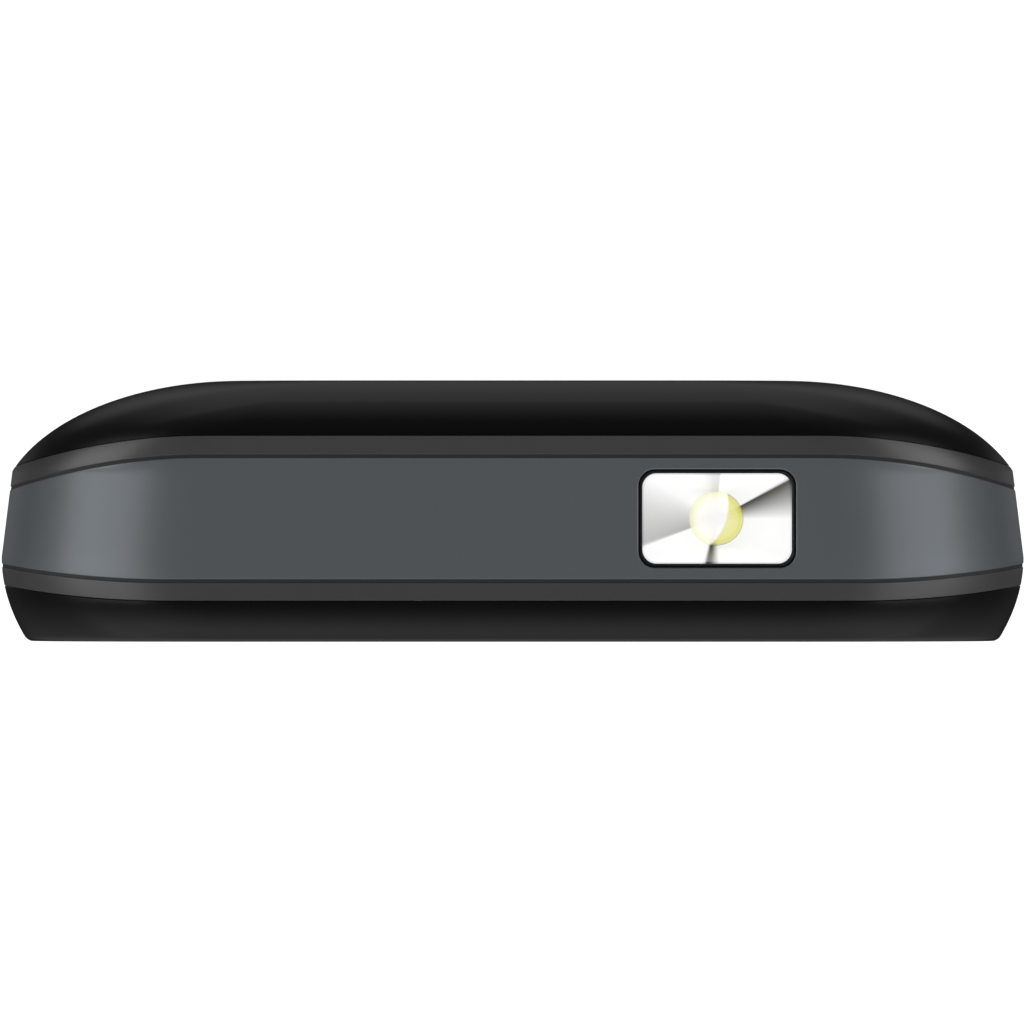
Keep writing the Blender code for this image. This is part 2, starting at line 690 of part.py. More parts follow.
def sound_slot():
    """The earpiece's slot, with a lip behind its mesh."""
    centre = (0, EARPIECE_HEIGHT)
    half_x, half_z = EARPIECE_SLOT_WIDTH / 2, EARPIECE_SLOT_HEIGHT / 2
    wide = rounded_outline(half_x, half_z, half_z, SMALL_CORNER_STEPS, centre)
    inner_z = half_z - EARPIECE_SLOT_LIP / 2
    inner_x = half_x - EARPIECE_SLOT_LIP
    narrow = rounded_outline(inner_x, inner_z, inner_z, SMALL_CORNER_STEPS, centre)
    step = KEY_RECESS + MESH_THICKNESS + CLOSE_GAP
    return stepped_hole("sound_slot", wide, narrow, step, FRONT_WALL + CUT_OVERRUN)


def keys():
    """Every key that presses straight in, as (name, centre x, centre z, width, height)."""
    number_names = (("key_star", "key_0", "key_hash"), ("key_7", "key_8", "key_9"),
                    ("key_4", "key_5", "key_6"), ("key_1", "key_2", "key_3"))
    listed = []
    for row, names in enumerate(number_names):
        height = BOTTOM_ROW_HEIGHT + row * NUMBER_KEY_PITCH_Z
        for column, name in enumerate(names):
            across = (column - 1) * NUMBER_KEY_PITCH_X
            listed.append((name, across, height, NUMBER_KEY_WIDTH, NUMBER_KEY_HEIGHT))
    for name, side, height in (("call_key", -1, CALL_ROW_HEIGHT), ("end_key", 1, CALL_ROW_HEIGHT),
                               ("soft_key_left", -1, SOFT_ROW_HEIGHT),
                               ("soft_key_right", 1, SOFT_ROW_HEIGHT)):
        listed.append((name, side * SIDE_KEY_CENTRE, height, SIDE_KEY_WIDTH, SIDE_KEY_HEIGHT))
    listed.append(("select_key", 0, NAV_HEIGHT, SELECT_WIDTH, SELECT_LENGTH))
    return listed


def key_hole(x, z, width, height):
    """The hole that a key moves in."""
    outline = rounded_outline(width / 2 + KEY_HOLE_GAP, height / 2 + KEY_HOLE_GAP,
                              KEY_CORNER + KEY_HOLE_GAP, SMALL_CORNER_STEPS, (x, z))
    return slab("key_hole", outline, -CUT_OVERRUN, FRONT_WALL + CUT_OVERRUN)


def key_levels():
    """The depths of a key's flange: behind the front wall, and in front of the rubber mat."""
    flange_front = FRONT_WALL + CLOSE_GAP
    flange_back = MAT_DEPTH - KEY_TRAVEL - CLOSE_GAP / 2
    return flange_front, flange_back


def make_key(name, x, z, width, height):
    """A key cap with a flange that holds it behind the wall, and a stem that meets its dome."""
    flange = 0 if name == "select_key" else KEY_FLANGE
    flange_front, flange_back = key_levels()

    def ring(grow, depth):
        outline = rounded_outline(width / 2 + grow, height / 2 + grow, KEY_CORNER + grow,
                                  SMALL_CORNER_STEPS, (x, z))
        return at_depth(outline, depth)

    stem = rounded_outline(KEY_STEM / 2, KEY_STEM / 2, KEY_STEM / 2, SMALL_CORNER_STEPS, (x, z))
    rings = [ring(-KEY_EDGE, KEY_RECESS), ring(0, KEY_RECESS + KEY_EDGE)]
    if flange:
        rings += [ring(0, flange_front), ring(flange, flange_front)]
    rings += [ring(flange, flange_back), at_depth(stem, flange_back),
              at_depth(stem, KEY_STEM_DEPTH)]
    key = loft(name, rings, "black_gloss")
    move_origin(key, (x, back_of(KEY_RECESS), z))
    return key


def make_nav_ring():
    """The rocking ring round the select key, with a flange behind the front wall."""
    flange_front, flange_back = key_levels()
    centre = (0, NAV_HEIGHT)

    def outer(grow, depth):
        outline = rounded_outline(NAV_WIDTH / 2 + grow, NAV_LENGTH / 2 + grow, NAV_CORNER + grow,
                                  CORNER_STEPS, centre)
        return at_depth(outline, depth)

    def inner(grow, depth):
        hole = KEY_HOLE_GAP + grow
        outline = rounded_outline(SELECT_WIDTH / 2 + hole, SELECT_LENGTH / 2 + hole,
                                  KEY_CORNER + hole, CORNER_STEPS, centre)
        return at_depth(outline, depth)

    lip = KEY_RECESS + KEY_EDGE
    rings = [inner(KEY_EDGE, KEY_RECESS), outer(-KEY_EDGE, KEY_RECESS), outer(0, lip),
             outer(0, flange_front), outer(KEY_FLANGE, flange_front),
             outer(KEY_FLANGE, flange_back), inner(0, flange_back), inner(0, lip)]
    ring = loft("nav_ring", rings, "trim_grey", closed=True)
    move_origin(ring, (0, back_of(flange_front), NAV_HEIGHT))
    return ring


def keypad_bounds():
    """The lowest and highest (x, z) of the keys with their flanges."""
    grow = KEY_FLANGE + MAT_MARGIN
    low_z = min(z - height / 2 for _, _, z, _, height in keys()) - grow
    high_z = max(z + height / 2 for _, _, z, _, height in keys()) + grow
    wide = max(x + width / 2 for _, x, _, width, _ in keys()) + grow
    return wide, low_z, high_z


def keypad_outline(inset):
    wide, low_z, high_z = keypad_bounds()
    middle = (low_z + high_z) / 2
    return rounded_outline(wide - inset, (high_z - low_z) / 2 - inset, KEY_CORNER,
                           SMALL_CORNER_STEPS, (0, middle))


def make_keypad_mat():
    """The rubber mat, with a hole for each key's stem."""
    mat_back = MAT_DEPTH + MAT_THICKNESS
    mat = slab("keypad_mat", keypad_outline(0), MAT_DEPTH, mat_back, "soft_rubber")
    holes = [
        slab("stem_hole", round_outline(KEY_STEM / 2 + FIT_GAP, SMALL_ROUND_SIDES, (x, z)),
             MAT_DEPTH - CUT_OVERRUN, mat_back + CUT_OVERRUN)
        for _, x, z, _, _ in keys()
    ]
    cut(mat, holes, "stem_holes")
    return mat


def make_dome_sheet():
    """The sheet of snap domes that give the keys their click and their way back."""
    sheet_back = BOARD_DEPTH - FIT_GAP
    sheet_front = sheet_back - DOME_SHEET_THICKNESS
    sheet = slab("dome_sheet", keypad_outline(MAT_MARGIN / 2), sheet_front, sheet_back,
                 "amber_sheet")
    domes = []
    for _, x, z, _, _ in keys():
        foot = round_outline(DOME_RADIUS, SMALL_ROUND_SIDES, (x, z))
        crown = round_outline(DOME_RADIUS * DOME_TOP_SHARE, SMALL_ROUND_SIDES, (x, z))
        middle = sheet_front + DOME_SHEET_THICKNESS / 2
        rings = [at_depth(crown, sheet_front - DOME_HEIGHT), at_depth(foot, sheet_front),
                 at_depth(foot, middle)]
        domes.append(loft("dome", rings, None))
    weld(sheet, domes, "domes")
    return sheet


def panel_half_sizes(extra):
    return SCREEN_WIDTH / 2 + PANEL_MARGIN + extra, SCREEN_LENGTH / 2 + PANEL_MARGIN + extra


def make_display():
    """The clear window, the panel behind it and the tray that holds the panel."""
    centre = (0, DISPLAY_CENTRE_HEIGHT)
    window = bevelled_slab("display_window", *window_half_sizes(0), WINDOW_CORNER, WINDOW_RECESS,
                           WINDOW_RECESS + WINDOW_THICKNESS, KEY_RECESS, "screen_glass", centre)
    panel_front = FRONT_WALL + CLOSE_GAP
    panel_back = panel_front + PANEL_THICKNESS
    panel = bevelled_slab("lcd_panel", *panel_half_sizes(0), SCREEN_CORNER, panel_front,
                          panel_back, KEY_RECESS, "screen_glass", centre)

    def ring(extra, depth):
        outline = rounded_outline(*panel_half_sizes(extra), SCREEN_CORNER, SMALL_CORNER_STEPS,
                                  centre)
        return at_depth(outline, depth)

    floor_front = panel_back + CLOSE_GAP
    tray_back = floor_front + PANEL_FRAME_FLOOR
    inner, outer = FIT_GAP, FIT_GAP + PANEL_FRAME_WALL
    rings = [ring(inner, floor_front), ring(inner, panel_front), ring(outer, panel_front),
             ring(outer, tray_back)]
    tray = loft("lcd_frame", rings, "bright_steel")
    return [window, panel, tray]


def make_main_board():
    """The circuit board, notched round the screw bosses and the audio jack."""
    board = slab("main_board", inner_outline(BOARD_INSET), BOARD_DEPTH, BOARD_BACK, "board_green")
    top = slab("board_top", box_outline(-HALF_WIDTH, HALF_WIDTH, BOARD_TOP_HEIGHT, BODY_LENGTH),
               BOARD_DEPTH - CUT_OVERRUN, BOARD_BACK + CUT_OVERRUN)
    cut(board, [top], "top_edge")
    notches = [
        slab("notch", round_outline(BOSS_RADIUS + FIT_GAP, SMALL_ROUND_SIDES, place),
             BOARD_DEPTH - CUT_OVERRUN, BOARD_BACK + CUT_OVERRUN)
        for place in SCREWS if place[1] < BOARD_TOP_HEIGHT
    ]
    notches.append(jack_space("jack_notch", BOARD_DEPTH - CUT_OVERRUN, BOARD_BACK + CUT_OVERRUN))
    cut(board, notches, "notches")
    return board


def end_wall_inside():
    """The height of the inner face of the bottom wall."""
    return RING_WALL + FIT_GAP


def box_outline(low_x, high_x, low_z, high_z, radius=0):
    """An outline between two X values and two heights."""
    if not radius:
        return [(high_x, high_z), (low_x, high_z), (low_x, low_z), (high_x, low_z)]
    centre = ((low_x + high_x) / 2, (low_z + high_z) / 2)
    half_x, half_z = (high_x - low_x) / 2, (high_z - low_z) / 2
    return rounded_outline(half_x, half_z, radius, SMALL_CORNER_STEPS, centre)


def jack_space(name, front, back):
    """The space that the audio jack takes in the board and the chassis."""
    half = JACK_SIZE / 2 + FIT_GAP
    top = end_wall_inside() + JACK_LENGTH + FIT_GAP
    return slab(name, box_outline(JACK_X - half, JACK_X + half, -CUT_OVERRUN, top), front, back)


def make_rear_chassis():
    """The moulded frame behind the board, with its battery bay, card bay and screw seats."""
    chassis = slab("rear_chassis", inner_outline(FIT_GAP), FLOOR_DEPTH, LEDGE_DEPTH,
                   "chassis_black")
    bay_half = BAY_HALF_WIDTH
    plateau_half = bay_half + CHASSIS_WALL
    bay_low = BATTERY_BOTTOM_HEIGHT - FIT_GAP
    bay_high = BATTERY_BOTTOM_HEIGHT + BATTERY_LENGTH + FIT_GAP
    plateau = slab("plateau", box_outline(-plateau_half, plateau_half, bay_low - CHASSIS_WALL,
                                          PLATEAU_TOP_HEIGHT, PLATEAU_CORNER),
                   LEDGE_DEPTH - WELD_DEPTH, PLATEAU_DEPTH)
    weld(chassis, [plateau], "plateau")

    above = BODY_DEPTH + CUT_OVERRUN
    below = FLOOR_DEPTH - CUT_OVERRUN
    bay = slab("bay", box_outline(-bay_half, bay_half, bay_low, bay_high, POCKET_CORNER),
               FLOOR_BACK, above)
    card_low = bay_high + CHASSIS_WALL
    cards = slab("cards", box_outline(-bay_half, bay_half, card_low, SOCKET_BAY_TOP_HEIGHT,
                                      POCKET_CORNER), FLOOR_BACK, above)
    cut(chassis, [bay, cards], "bays")

    roof_front = PLATEAU_DEPTH - ROOF_THICKNESS
    upper_low = SOCKET_BAY_TOP_HEIGHT + CHASSIS_WALL
    pockets = [
        slab("speaker_pocket", box_outline(SPEAKER_X - SPEAKER_WIDTH / 2 - FIT_GAP,
                                           CAMERA_SIZE / 2 + FIT_GAP, upper_low,
                                           SPEAKER_HEIGHT + SPEAKER_LENGTH / 2 + FIT_GAP),
             below, roof_front),
        slab("motor_pocket", box_outline(MOTOR_X - FIT_GAP, weight_end() + FIT_GAP,
                                         MOTOR_HEIGHT - MOTOR_RADIUS - FIT_GAP,
                                         MOTOR_HEIGHT + MOTOR_RADIUS + FIT_GAP),
             below, roof_front),
    ]
    ledge_in = plateau_half
    ledge_out = HALF_WIDTH - RING_WALL - FIT_GAP - CHASSIS_WALL
    ledge_roof = LEDGE_DEPTH - ROOF_THICKNESS
    keep_off = BOSS_RADIUS + CHASSIS_WALL
    for side in (-1, 1):
        for low, high in ((bay_low, MIDDLE_SCREW_HEIGHT - keep_off),
                          (MIDDLE_SCREW_HEIGHT + keep_off, SOCKET_BAY_TOP_HEIGHT)):
            low_x, high_x = sorted((side * ledge_in, side * ledge_out))
            pockets.append(slab("ledge_pocket", box_outline(low_x, high_x, low, high), below,
                                ledge_roof))
    cut(chassis, pockets, "pockets")
    cut(chassis, [torch_space("torch_pocket", below, above)], "torch")

    windows = [
        socket_space(CONTACT_WIDTH, CONTACT_LENGTH, 0, contact_height(), below, above),
        socket_space(SIM_WIDTH, SIM_LENGTH, -SOCKET_SPACING / 2, SIM_CENTRE_HEIGHT, below,
                     FLOOR_BACK + CUT_OVERRUN),
        socket_space(SIM_WIDTH, SIM_LENGTH, SOCKET_SPACING / 2, SIM_CENTRE_HEIGHT, below,
                     FLOOR_BACK + CUT_OVERRUN),
        socket_space(MEMORY_WIDTH, MEMORY_LENGTH, -SOCKET_SPACING / 2, MEMORY_CENTRE_HEIGHT, below,
                     FLOOR_BACK + CUT_OVERRUN),
        socket_space(MEMORY_WIDTH, MEMORY_LENGTH, SOCKET_SPACING / 2, MEMORY_CENTRE_HEIGHT, below,
                     FLOOR_BACK + CUT_OVERRUN),
        slab("camera_sight", round_outline(CAMERA_BARREL_RADIUS + FIT_GAP, SMALL_ROUND_SIDES,
                                           (0, CAMERA_HEIGHT)), roof_front - WELD_DEPTH, above),
        jack_space("jack_window", below, above),
        slab("usb_window", box_outline(-USB_WIDTH / 2 - FIT_GAP, USB_WIDTH / 2 + FIT_GAP,
                                       -CUT_OVERRUN, end_wall_inside() + USB_LENGTH + FIT_GAP),
             below, above),
        slab("microphone_pocket", box_outline(MICROPHONE_X - MICROPHONE_WIDTH / 2 - FIT_GAP,
                                              MICROPHONE_X + MICROPHONE_WIDTH / 2 + FIT_GAP,
                                              -CUT_OVERRUN,
                                              end_wall_inside() + MICROPHONE_LENGTH + FIT_GAP),
             below, BOARD_BACK + FIT_GAP + MICROPHONE_RISE + FIT_GAP),
    ]
    windows += speaker_slots(roof_front - WELD_DEPTH, above)
    cut(chassis, windows, "windows")

    seats = []
    for place in SCREWS:
        shank = round_outline(SCREW_SHANK_RADIUS + CLOSE_GAP, SMALL_ROUND_SIDES, place)
        head = round_outline(SCREW_HEAD_RADIUS + CLOSE_GAP, SMALL_ROUND_SIDES, place)
        seat_depth = screw_head_front() - CLOSE_GAP
        rings = [at_depth(shank, below), at_depth(shank, seat_depth), at_depth(head, seat_depth),
                 at_depth(head, LEDGE_DEPTH + CUT_OVERRUN)]
        seats.append(loft("screw_seat", rings, None))
    for side in (-1, 1):
        for height in (CLIP_LOW_HEIGHT, CLIP_HIGH_HEIGHT):
            inner = clip_outer_x() - CLIP_THICKNESS - FIT_GAP
            low_x, high_x = sorted((side * inner, side * HALF_WIDTH))
            reach = CLIP_LENGTH / 2 + FIT_GAP
            seats.append(slab("clip_notch", box_outline(low_x, high_x, height - reach,
                                                        height + reach),
                              clip_front() - FIT_GAP, LEDGE_DEPTH + CUT_OVERRUN))
    cut(chassis, seats, "seats")
    return chassis


def socket_space(width, length, x, z, front, back):
    """The space round a socket that stands on the board."""
    half_x, half_z = width / 2 + FIT_GAP, length / 2 + FIT_GAP
    return slab("socket_space", box_outline(x - half_x, x + half_x, z - half_z, z + half_z),
                front, back)


def screw_head_front():
    """The depth of the underside of the screw heads, which are flush with the chassis."""
    return LEDGE_DEPTH - SCREW_HEAD_THICKNESS


def make_screw(place, number):
    """A small screw with a flat head and a star-shaped drive, drawn as a hexagon."""
    head_front = screw_head_front()
    shank = round_outline(SCREW_SHANK_RADIUS, SMALL_ROUND_SIDES, place)
    head = round_outline(SCREW_HEAD_RADIUS, SMALL_ROUND_SIDES, place)
    drive = round_outline(SCREW_DRIVE_RADIUS, SMALL_ROUND_SIDES, place)
    rings = [at_depth(shank, SCREW_TIP_DEPTH), at_depth(shank, head_front),
             at_depth(head, head_front), at_depth(head, LEDGE_DEPTH),
             at_depth(drive, LEDGE_DEPTH), at_depth(drive, LEDGE_DEPTH - SCREW_DRIVE_DEPTH)]
    screw = loft(f"screw_{number}", rings, "bright_steel")
    move_origin(screw, (place[0], back_of(head_front), place[1]))
    return screw


def clip_outer_x():
    """The outer face of the cover's clips, just inside the rings."""
    return HALF_WIDTH - RING_WALL - CLIP_RELIEF


def clip_front():
    return CREASE_DEPTH - CLIP_DROP


def make_battery_cover():
    """The domed back cover, with clips, camera opening, sound slots and a notch to lift it by."""
    seam = rear_seam(COVER_SPLIT_DEPTH, SEAM_GAP / 2)
    low = meet(body_outline, seam)
    rings = []
    for row in range(DOME_ROWS + 1):
        rest = (1 - row / DOME_ROWS) ** 2
        rings.append(skin_ring(body_outline, [BODY_DEPTH - (BODY_DEPTH - near) * rest
                                              for near in low]))
    rings.reverse()
    inside = meet(cover_inside_outline, seam)
    ceiling = BODY_DEPTH - COVER_WALL
    for row in range(INNER_DOME_ROWS + 1):
        rest = (1 - row / INNER_DOME_ROWS) ** 2
        rings.append(skin_ring(cover_inside_outline, [ceiling - (ceiling - near) * rest
                                                      for near in inside]))
    cover = loft("battery_cover", rings, "black_gloss")

    clips = []
    for side in (-1, 1):
        for height in (CLIP_LOW_HEIGHT, CLIP_HIGH_HEIGHT):
            low_x, high_x = sorted((side * (clip_outer_x() - CLIP_THICKNESS),
                                    side * clip_outer_x()))
            reach = CLIP_LENGTH / 2
            clips.append(slab("clip", box_outline(low_x, high_x, height - reach, height + reach),
                              clip_front(), seam(clip_outer_x() - CLIP_THICKNESS) + WELD_DEPTH))
    weld(cover, clips, "clips")

    back = BODY_DEPTH + CUT_OVERRUN
    ledge = BODY_DEPTH - CAMERA_WINDOW_THICKNESS - CLOSE_GAP * 2
    centre = (0, CAMERA_HEIGHT)
    wide = round_outline(CAMERA_WINDOW_RADIUS + CLOSE_GAP, ROUND_SIDES, centre)
    sight = round_outline(CAMERA_SIGHT_RADIUS, ROUND_SIDES, centre)
    camera_hole = loft("camera_hole", [at_depth(sight, ceiling - CUT_OVERRUN),
                                       at_depth(sight, ledge), at_depth(wide, ledge),
                                       at_depth(wide, back)], None)
    oval = [(x, depth * NOTCH_REACH / NOTCH_RADIUS)
            for x, depth in round_outline(NOTCH_RADIUS, ROUND_SIDES)]
    nail = loft("nail_notch", [across_height(oval, height, COVER_SPLIT_DEPTH)
                               for height in (-CUT_OVERRUN, NOTCH_REACH)], None)
    cut(cover, [camera_hole, nail] + speaker_slots(ceiling - CUT_OVERRUN, back), "openings")
    return cover


def speaker_slots(front, back):
    """A row of sound slots, the same in the cover and in the chassis."""
    slots = []
    for place in range(SLOT_COUNT):
        height = SPEAKER_HEIGHT + (place - (SLOT_COUNT - 1) / 2) * SLOT_PITCH
        outline = rounded_outline(SLOT_WIDTH / 2, SLOT_HEIGHT / 2, SLOT_HEIGHT / 2,
                                  SMALL_CORNER_STEPS, (SPEAKER_X, height))
        slots.append(slab("sound_slot", outline, front, back))
    return slots


def make_cover_trim():
    """The small window over the camera and the mesh behind the sound slots."""
    back = BODY_DEPTH - CLOSE_GAP
    window = slab("camera_window", round_outline(CAMERA_WINDOW_RADIUS, ROUND_SIDES,
                                                 (0, CAMERA_HEIGHT)),
                  back - CAMERA_WINDOW_THICKNESS, back, "screen_glass")
    half_z = (SLOT_COUNT - 1) / 2 * SLOT_PITCH + SLOT_HEIGHT / 2 + MESH_MARGIN
    mesh_back = BODY_DEPTH - COVER_WALL - CLOSE_GAP
    outline = rounded_outline(SLOT_WIDTH / 2 + MESH_MARGIN, half_z, MESH_MARGIN,
                              SMALL_CORNER_STEPS, (SPEAKER_X, SPEAKER_HEIGHT))
    mesh = slab("speaker_mesh", outline, mesh_back - MESH_THICKNESS, mesh_back, "bright_steel")
    return [window, mesh]


def contact_height():
    """The height of the middle of the battery connector."""
    return (BATTERY_BOTTOM_HEIGHT + BATTERY_LENGTH + FIT_GAP + CONTACT_LENGTH / 2
            + FIT_GAP)


def make_battery():
    centre = (0, BATTERY_BOTTOM_HEIGHT + BATTERY_LENGTH / 2)
    battery = bevelled_slab("battery", BATTERY_WIDTH / 2, BATTERY_LENGTH / 2, BATTERY_CORNER,
                            BATTERY_FRONT, BATTERY_FRONT + BATTERY_THICKNESS, SOCKET_CORNER,
                            "battery_label", centre)
    connector = on_board("battery_connector", CONTACT_WIDTH, CONTACT_LENGTH, CONTACT_RISE, 0,
                         contact_height(), "gold_contact")
    return battery, connector


def on_board(name, width, length, rise, x, z, look, corner=None):
    """A component that stands on the back of the board."""
    front = BOARD_BACK + CLOSE_GAP
    return bevelled_slab(name, width / 2, length / 2, corner or SOCKET_CORNER, front, front + rise,
                         KEY_RECESS, look, (x, z))


def make_card_sockets():
    """Two card sockets with slots for their cards, and a memory card socket with its gate."""
    pieces = []
    for number, side in ((1, -1), (2, 1)):
        socket = on_board(f"sim_socket_{number}", SIM_WIDTH, SIM_LENGTH, SIM_THICKNESS,
                          side * SOCKET_SPACING / 2, SIM_CENTRE_HEIGHT, "bright_steel")
        pieces.append(socket)
    x = -SOCKET_SPACING / 2
    base = on_board("memory_card_socket", MEMORY_WIDTH, MEMORY_LENGTH, MEMORY_BASE_THICKNESS, x,
                    MEMORY_CENTRE_HEIGHT, "chassis_black")
    gate_front = BOARD_BACK + CLOSE_GAP + MEMORY_BASE_THICKNESS + CLOSE_GAP
    hinge_height = MEMORY_CENTRE_HEIGHT + MEMORY_LENGTH / 2 - GATE_THICKNESS
    outline = box_outline(x - MEMORY_WIDTH / 2, x + MEMORY_WIDTH / 2, hinge_height - GATE_LENGTH,
                          hinge_height, SOCKET_CORNER)
    gate = slab("memory_card_gate", outline, gate_front, gate_front + GATE_THICKNESS,
                "bright_steel")
    move_origin(gate, (x, back_of(gate_front + GATE_THICKNESS / 2), hinge_height))
    can = on_board("shield_can", MEMORY_WIDTH, MEMORY_LENGTH, SHIELD_THICKNESS, -x,
                   MEMORY_CENTRE_HEIGHT, "bright_steel")
    return pieces + [base, can], gate


def torch_space(name, front, back):
    """The space that the torch takes in the chassis."""
    half = TORCH_OPENING_WIDTH / 2 + TORCH_GASKET_WALL + FIT_GAP
    low = BOARD_TOP_HEIGHT - FIT_GAP
    return slab(name, box_outline(TORCH_X - half, TORCH_X + half, low, BODY_LENGTH), front, back)


def torch_outline(extra, radius_extra=None):
    """The torch window's outline in X and depth, round its own centre."""
    radius = TORCH_CORNER + (extra if radius_extra is None else radius_extra)
    return rounded_outline(TORCH_OPENING_WIDTH / 2 + extra, TORCH_OPENING_DEPTH / 2 + extra,
                           radius, CORNER_STEPS, (TORCH_X, 0))


def across_torch(outline, height):
    return across_height(outline, height, TORCH_DEPTH)


def make_torch():
    """The lamp in the top end: a clear window, a mirror cup, its gasket and the lamp itself."""
    window_top = BODY_LENGTH - TORCH_GAP
    window_low = window_top - TORCH_WINDOW_THICKNESS
    plate = torch_outline(-TORCH_GAP)
    window = loft("torch_window", [across_torch(plate, window_low),
                                   across_torch(plate, window_top)], "clear_window")

    cup_top = window_low - TORCH_GAP
    cup_low = cup_top - TORCH_REFLECTOR_LENGTH
    outer = torch_outline(-CLOSE_GAP)
    mouth = torch_outline(-CLOSE_GAP - TORCH_REFLECTOR_WALL, -TORCH_REFLECTOR_WALL)
    seat = [(TORCH_X + x, depth) for x, depth in seat_outline(TORCH_SEAT_RADIUS)]
    rings = [across_torch(seat, cup_low), across_torch(outer, cup_low),
             across_torch(outer, cup_top)]
    for row in range(MIRROR_ROWS + 1):
        share = row / MIRROR_ROWS
        height = cup_top - (cup_top - cup_low - TORCH_REFLECTOR_WALL) * share
        spread = sqrt(1 - share * (1 - share * share / 2) ** 2)
        level = [(ax + (bx - ax) * (1 - spread), ad + (bd - ad) * (1 - spread))
                 for (ax, ad), (bx, bd) in zip(mouth, seat)]
        rings.append(across_torch(level, height))
    rings.append(across_torch(seat, cup_low + TORCH_REFLECTOR_WALL))
    reflector = loft("torch_reflector", rings, "silver_mirror", closed=True)

    gasket_top = BODY_LENGTH - RING_WALL - CLOSE_GAP
    gasket_low = gasket_top - TORCH_GASKET_LENGTH
    wide, narrow = torch_outline(TORCH_GASKET_WALL), torch_outline(0)
    gasket = loft("torch_gasket", [across_torch(wide, gasket_low), across_torch(wide, gasket_top),
                                   across_torch(narrow, gasket_top),
                                   across_torch(narrow, gasket_low)], "soft_rubber", closed=True)

    base_low = BOARD_TOP_HEIGHT - CLOSE_GAP + FIT_GAP
    base_top = cup_low - CLOSE_GAP
    half = LED_BASE_SIZE / 2
    base = [(TORCH_X + x, depth) for x, depth in rounded_outline(half, half, SOCKET_CORNER,
                                                                CORNER_STEPS)]
    stem = [(TORCH_X + x, depth) for x, depth in seat_outline(LED_RADIUS)]
    rings = [across_torch(base, base_low), across_torch(base, base_top),
             across_torch(stem, base_top)]
    dome_low = cup_low + TORCH_REFLECTOR_WALL
    for row in range(LAMP_ROWS):
        angle = pi / 2 * row / LAMP_ROWS
        level = [(TORCH_X + x, depth) for x, depth in seat_outline(LED_RADIUS * cos(angle))]
        rings.append(across_torch(level, dome_low + LED_RADIUS * sin(angle)))
    led = loft("torch_led", rings, "led_yellow")
    return [window, reflector, gasket, led]


def seat_outline(radius):
    """A round outline whose points match those of a rounded rectangle."""
    return rounded_outline(radius, radius, radius, CORNER_STEPS)


def weight_end():
    """The X at which the motor's weight ends."""
    return MOTOR_X + MOTOR_LENGTH + FIT_GAP + WEIGHT_LENGTH


def motor_depth():
    """The depth of the motor's axis."""
    return BOARD_BACK + CLOSE_GAP + MOTOR_RADIUS


def along_x(outline, x):
    """A ring of points from an outline in depth and height round the motor's axis."""
    return [Vector((x, back_of(motor_depth() + depth), MOTOR_HEIGHT + height))
            for depth, height in outline]


def make_motor():
    """The vibration motor and the off-centre weight on its shaft."""
    body = round_outline(MOTOR_RADIUS, ROUND_SIDES)
    shaft = round_outline(SHAFT_RADIUS, ROUND_SIDES)
    body_end = MOTOR_X + MOTOR_LENGTH
    motor = loft("vibration_motor", [along_x(body, MOTOR_X), along_x(body, body_end),
                                     along_x(shaft, body_end),
                                     along_x(shaft, weight_end() - FIT_GAP)], "bright_steel")
    start = body_end + FIT_GAP
    turns = [pi * step / HALF_ROUND_SIDES for step in range(HALF_ROUND_SIDES + 1)]
    heavy = [(WEIGHT_RADIUS * cos(turn), -WEIGHT_RADIUS * sin(turn)) for turn in turns]
    hub = [(-WEIGHT_HUB_RADIUS * cos(turn), WEIGHT_HUB_RADIUS * sin(turn)) for turn in turns]
    outline = heavy + hub
    weight = loft("vibration_weight", [along_x(outline, start), along_x(outline, weight_end())],
                  "bright_steel")
    bore = loft("bore", [along_x(round_outline(SHAFT_RADIUS + CLOSE_GAP, SMALL_ROUND_SIDES), x)
                         for x in (start - CUT_OVERRUN, weight_end() - CLOSE_GAP)], None)
    cut(weight, [bore], "bore")
    move_origin(weight, (start, back_of(motor_depth()), MOTOR_HEIGHT))
    return motor, weight


def make_camera_and_speakers():
    camera = on_board("camera_module", CAMERA_SIZE, CAMERA_SIZE, ROOF_ROOM, 0, CAMERA_HEIGHT,
                      "chassis_black")
    front = BOARD_BACK + CLOSE_GAP + ROOF_ROOM
    barrel = slab("barrel", round_outline(CAMERA_BARREL_RADIUS, SMALL_ROUND_SIDES,
                                          (0, CAMERA_HEIGHT)), front - WELD_DEPTH,
                  front + CAMERA_BARREL_RISE)
    weld(camera, [barrel], "barrel")
    loudspeaker = on_board("loudspeaker", SPEAKER_WIDTH, SPEAKER_LENGTH, ROOF_ROOM, SPEAKER_X,
                           SPEAKER_HEIGHT, "bright_steel", SPEAKER_CORNER)
    earpiece_front = FRONT_WALL + CLOSE_GAP
    earpiece = bevelled_slab("earpiece", EARPIECE_WIDTH / 2, EARPIECE_LENGTH / 2,
                             EARPIECE_LENGTH / 4, earpiece_front, earpiece_front + EARPIECE_RISE,
                             KEY_RECESS, "bright_steel", (0, EARPIECE_HEIGHT))
    half_x = EARPIECE_SLOT_WIDTH / 2 - CLOSE_GAP
    half_z = EARPIECE_SLOT_HEIGHT / 2 - CLOSE_GAP
    mesh = slab("earpiece_mesh", rounded_outline(half_x, half_z, half_z, SMALL_CORNER_STEPS,
                                                 (0, EARPIECE_HEIGHT)),
                KEY_RECESS, KEY_RECESS + MESH_THICKNESS, "bright_steel")
    return [camera, loudspeaker, earpiece, mesh]


def usb_depth():
    return BOARD_BACK + CLOSE_GAP + USB_RISE / 2


def microphone_depth():
    return BOARD_BACK + CLOSE_GAP + MICROPHONE_RISE / 2


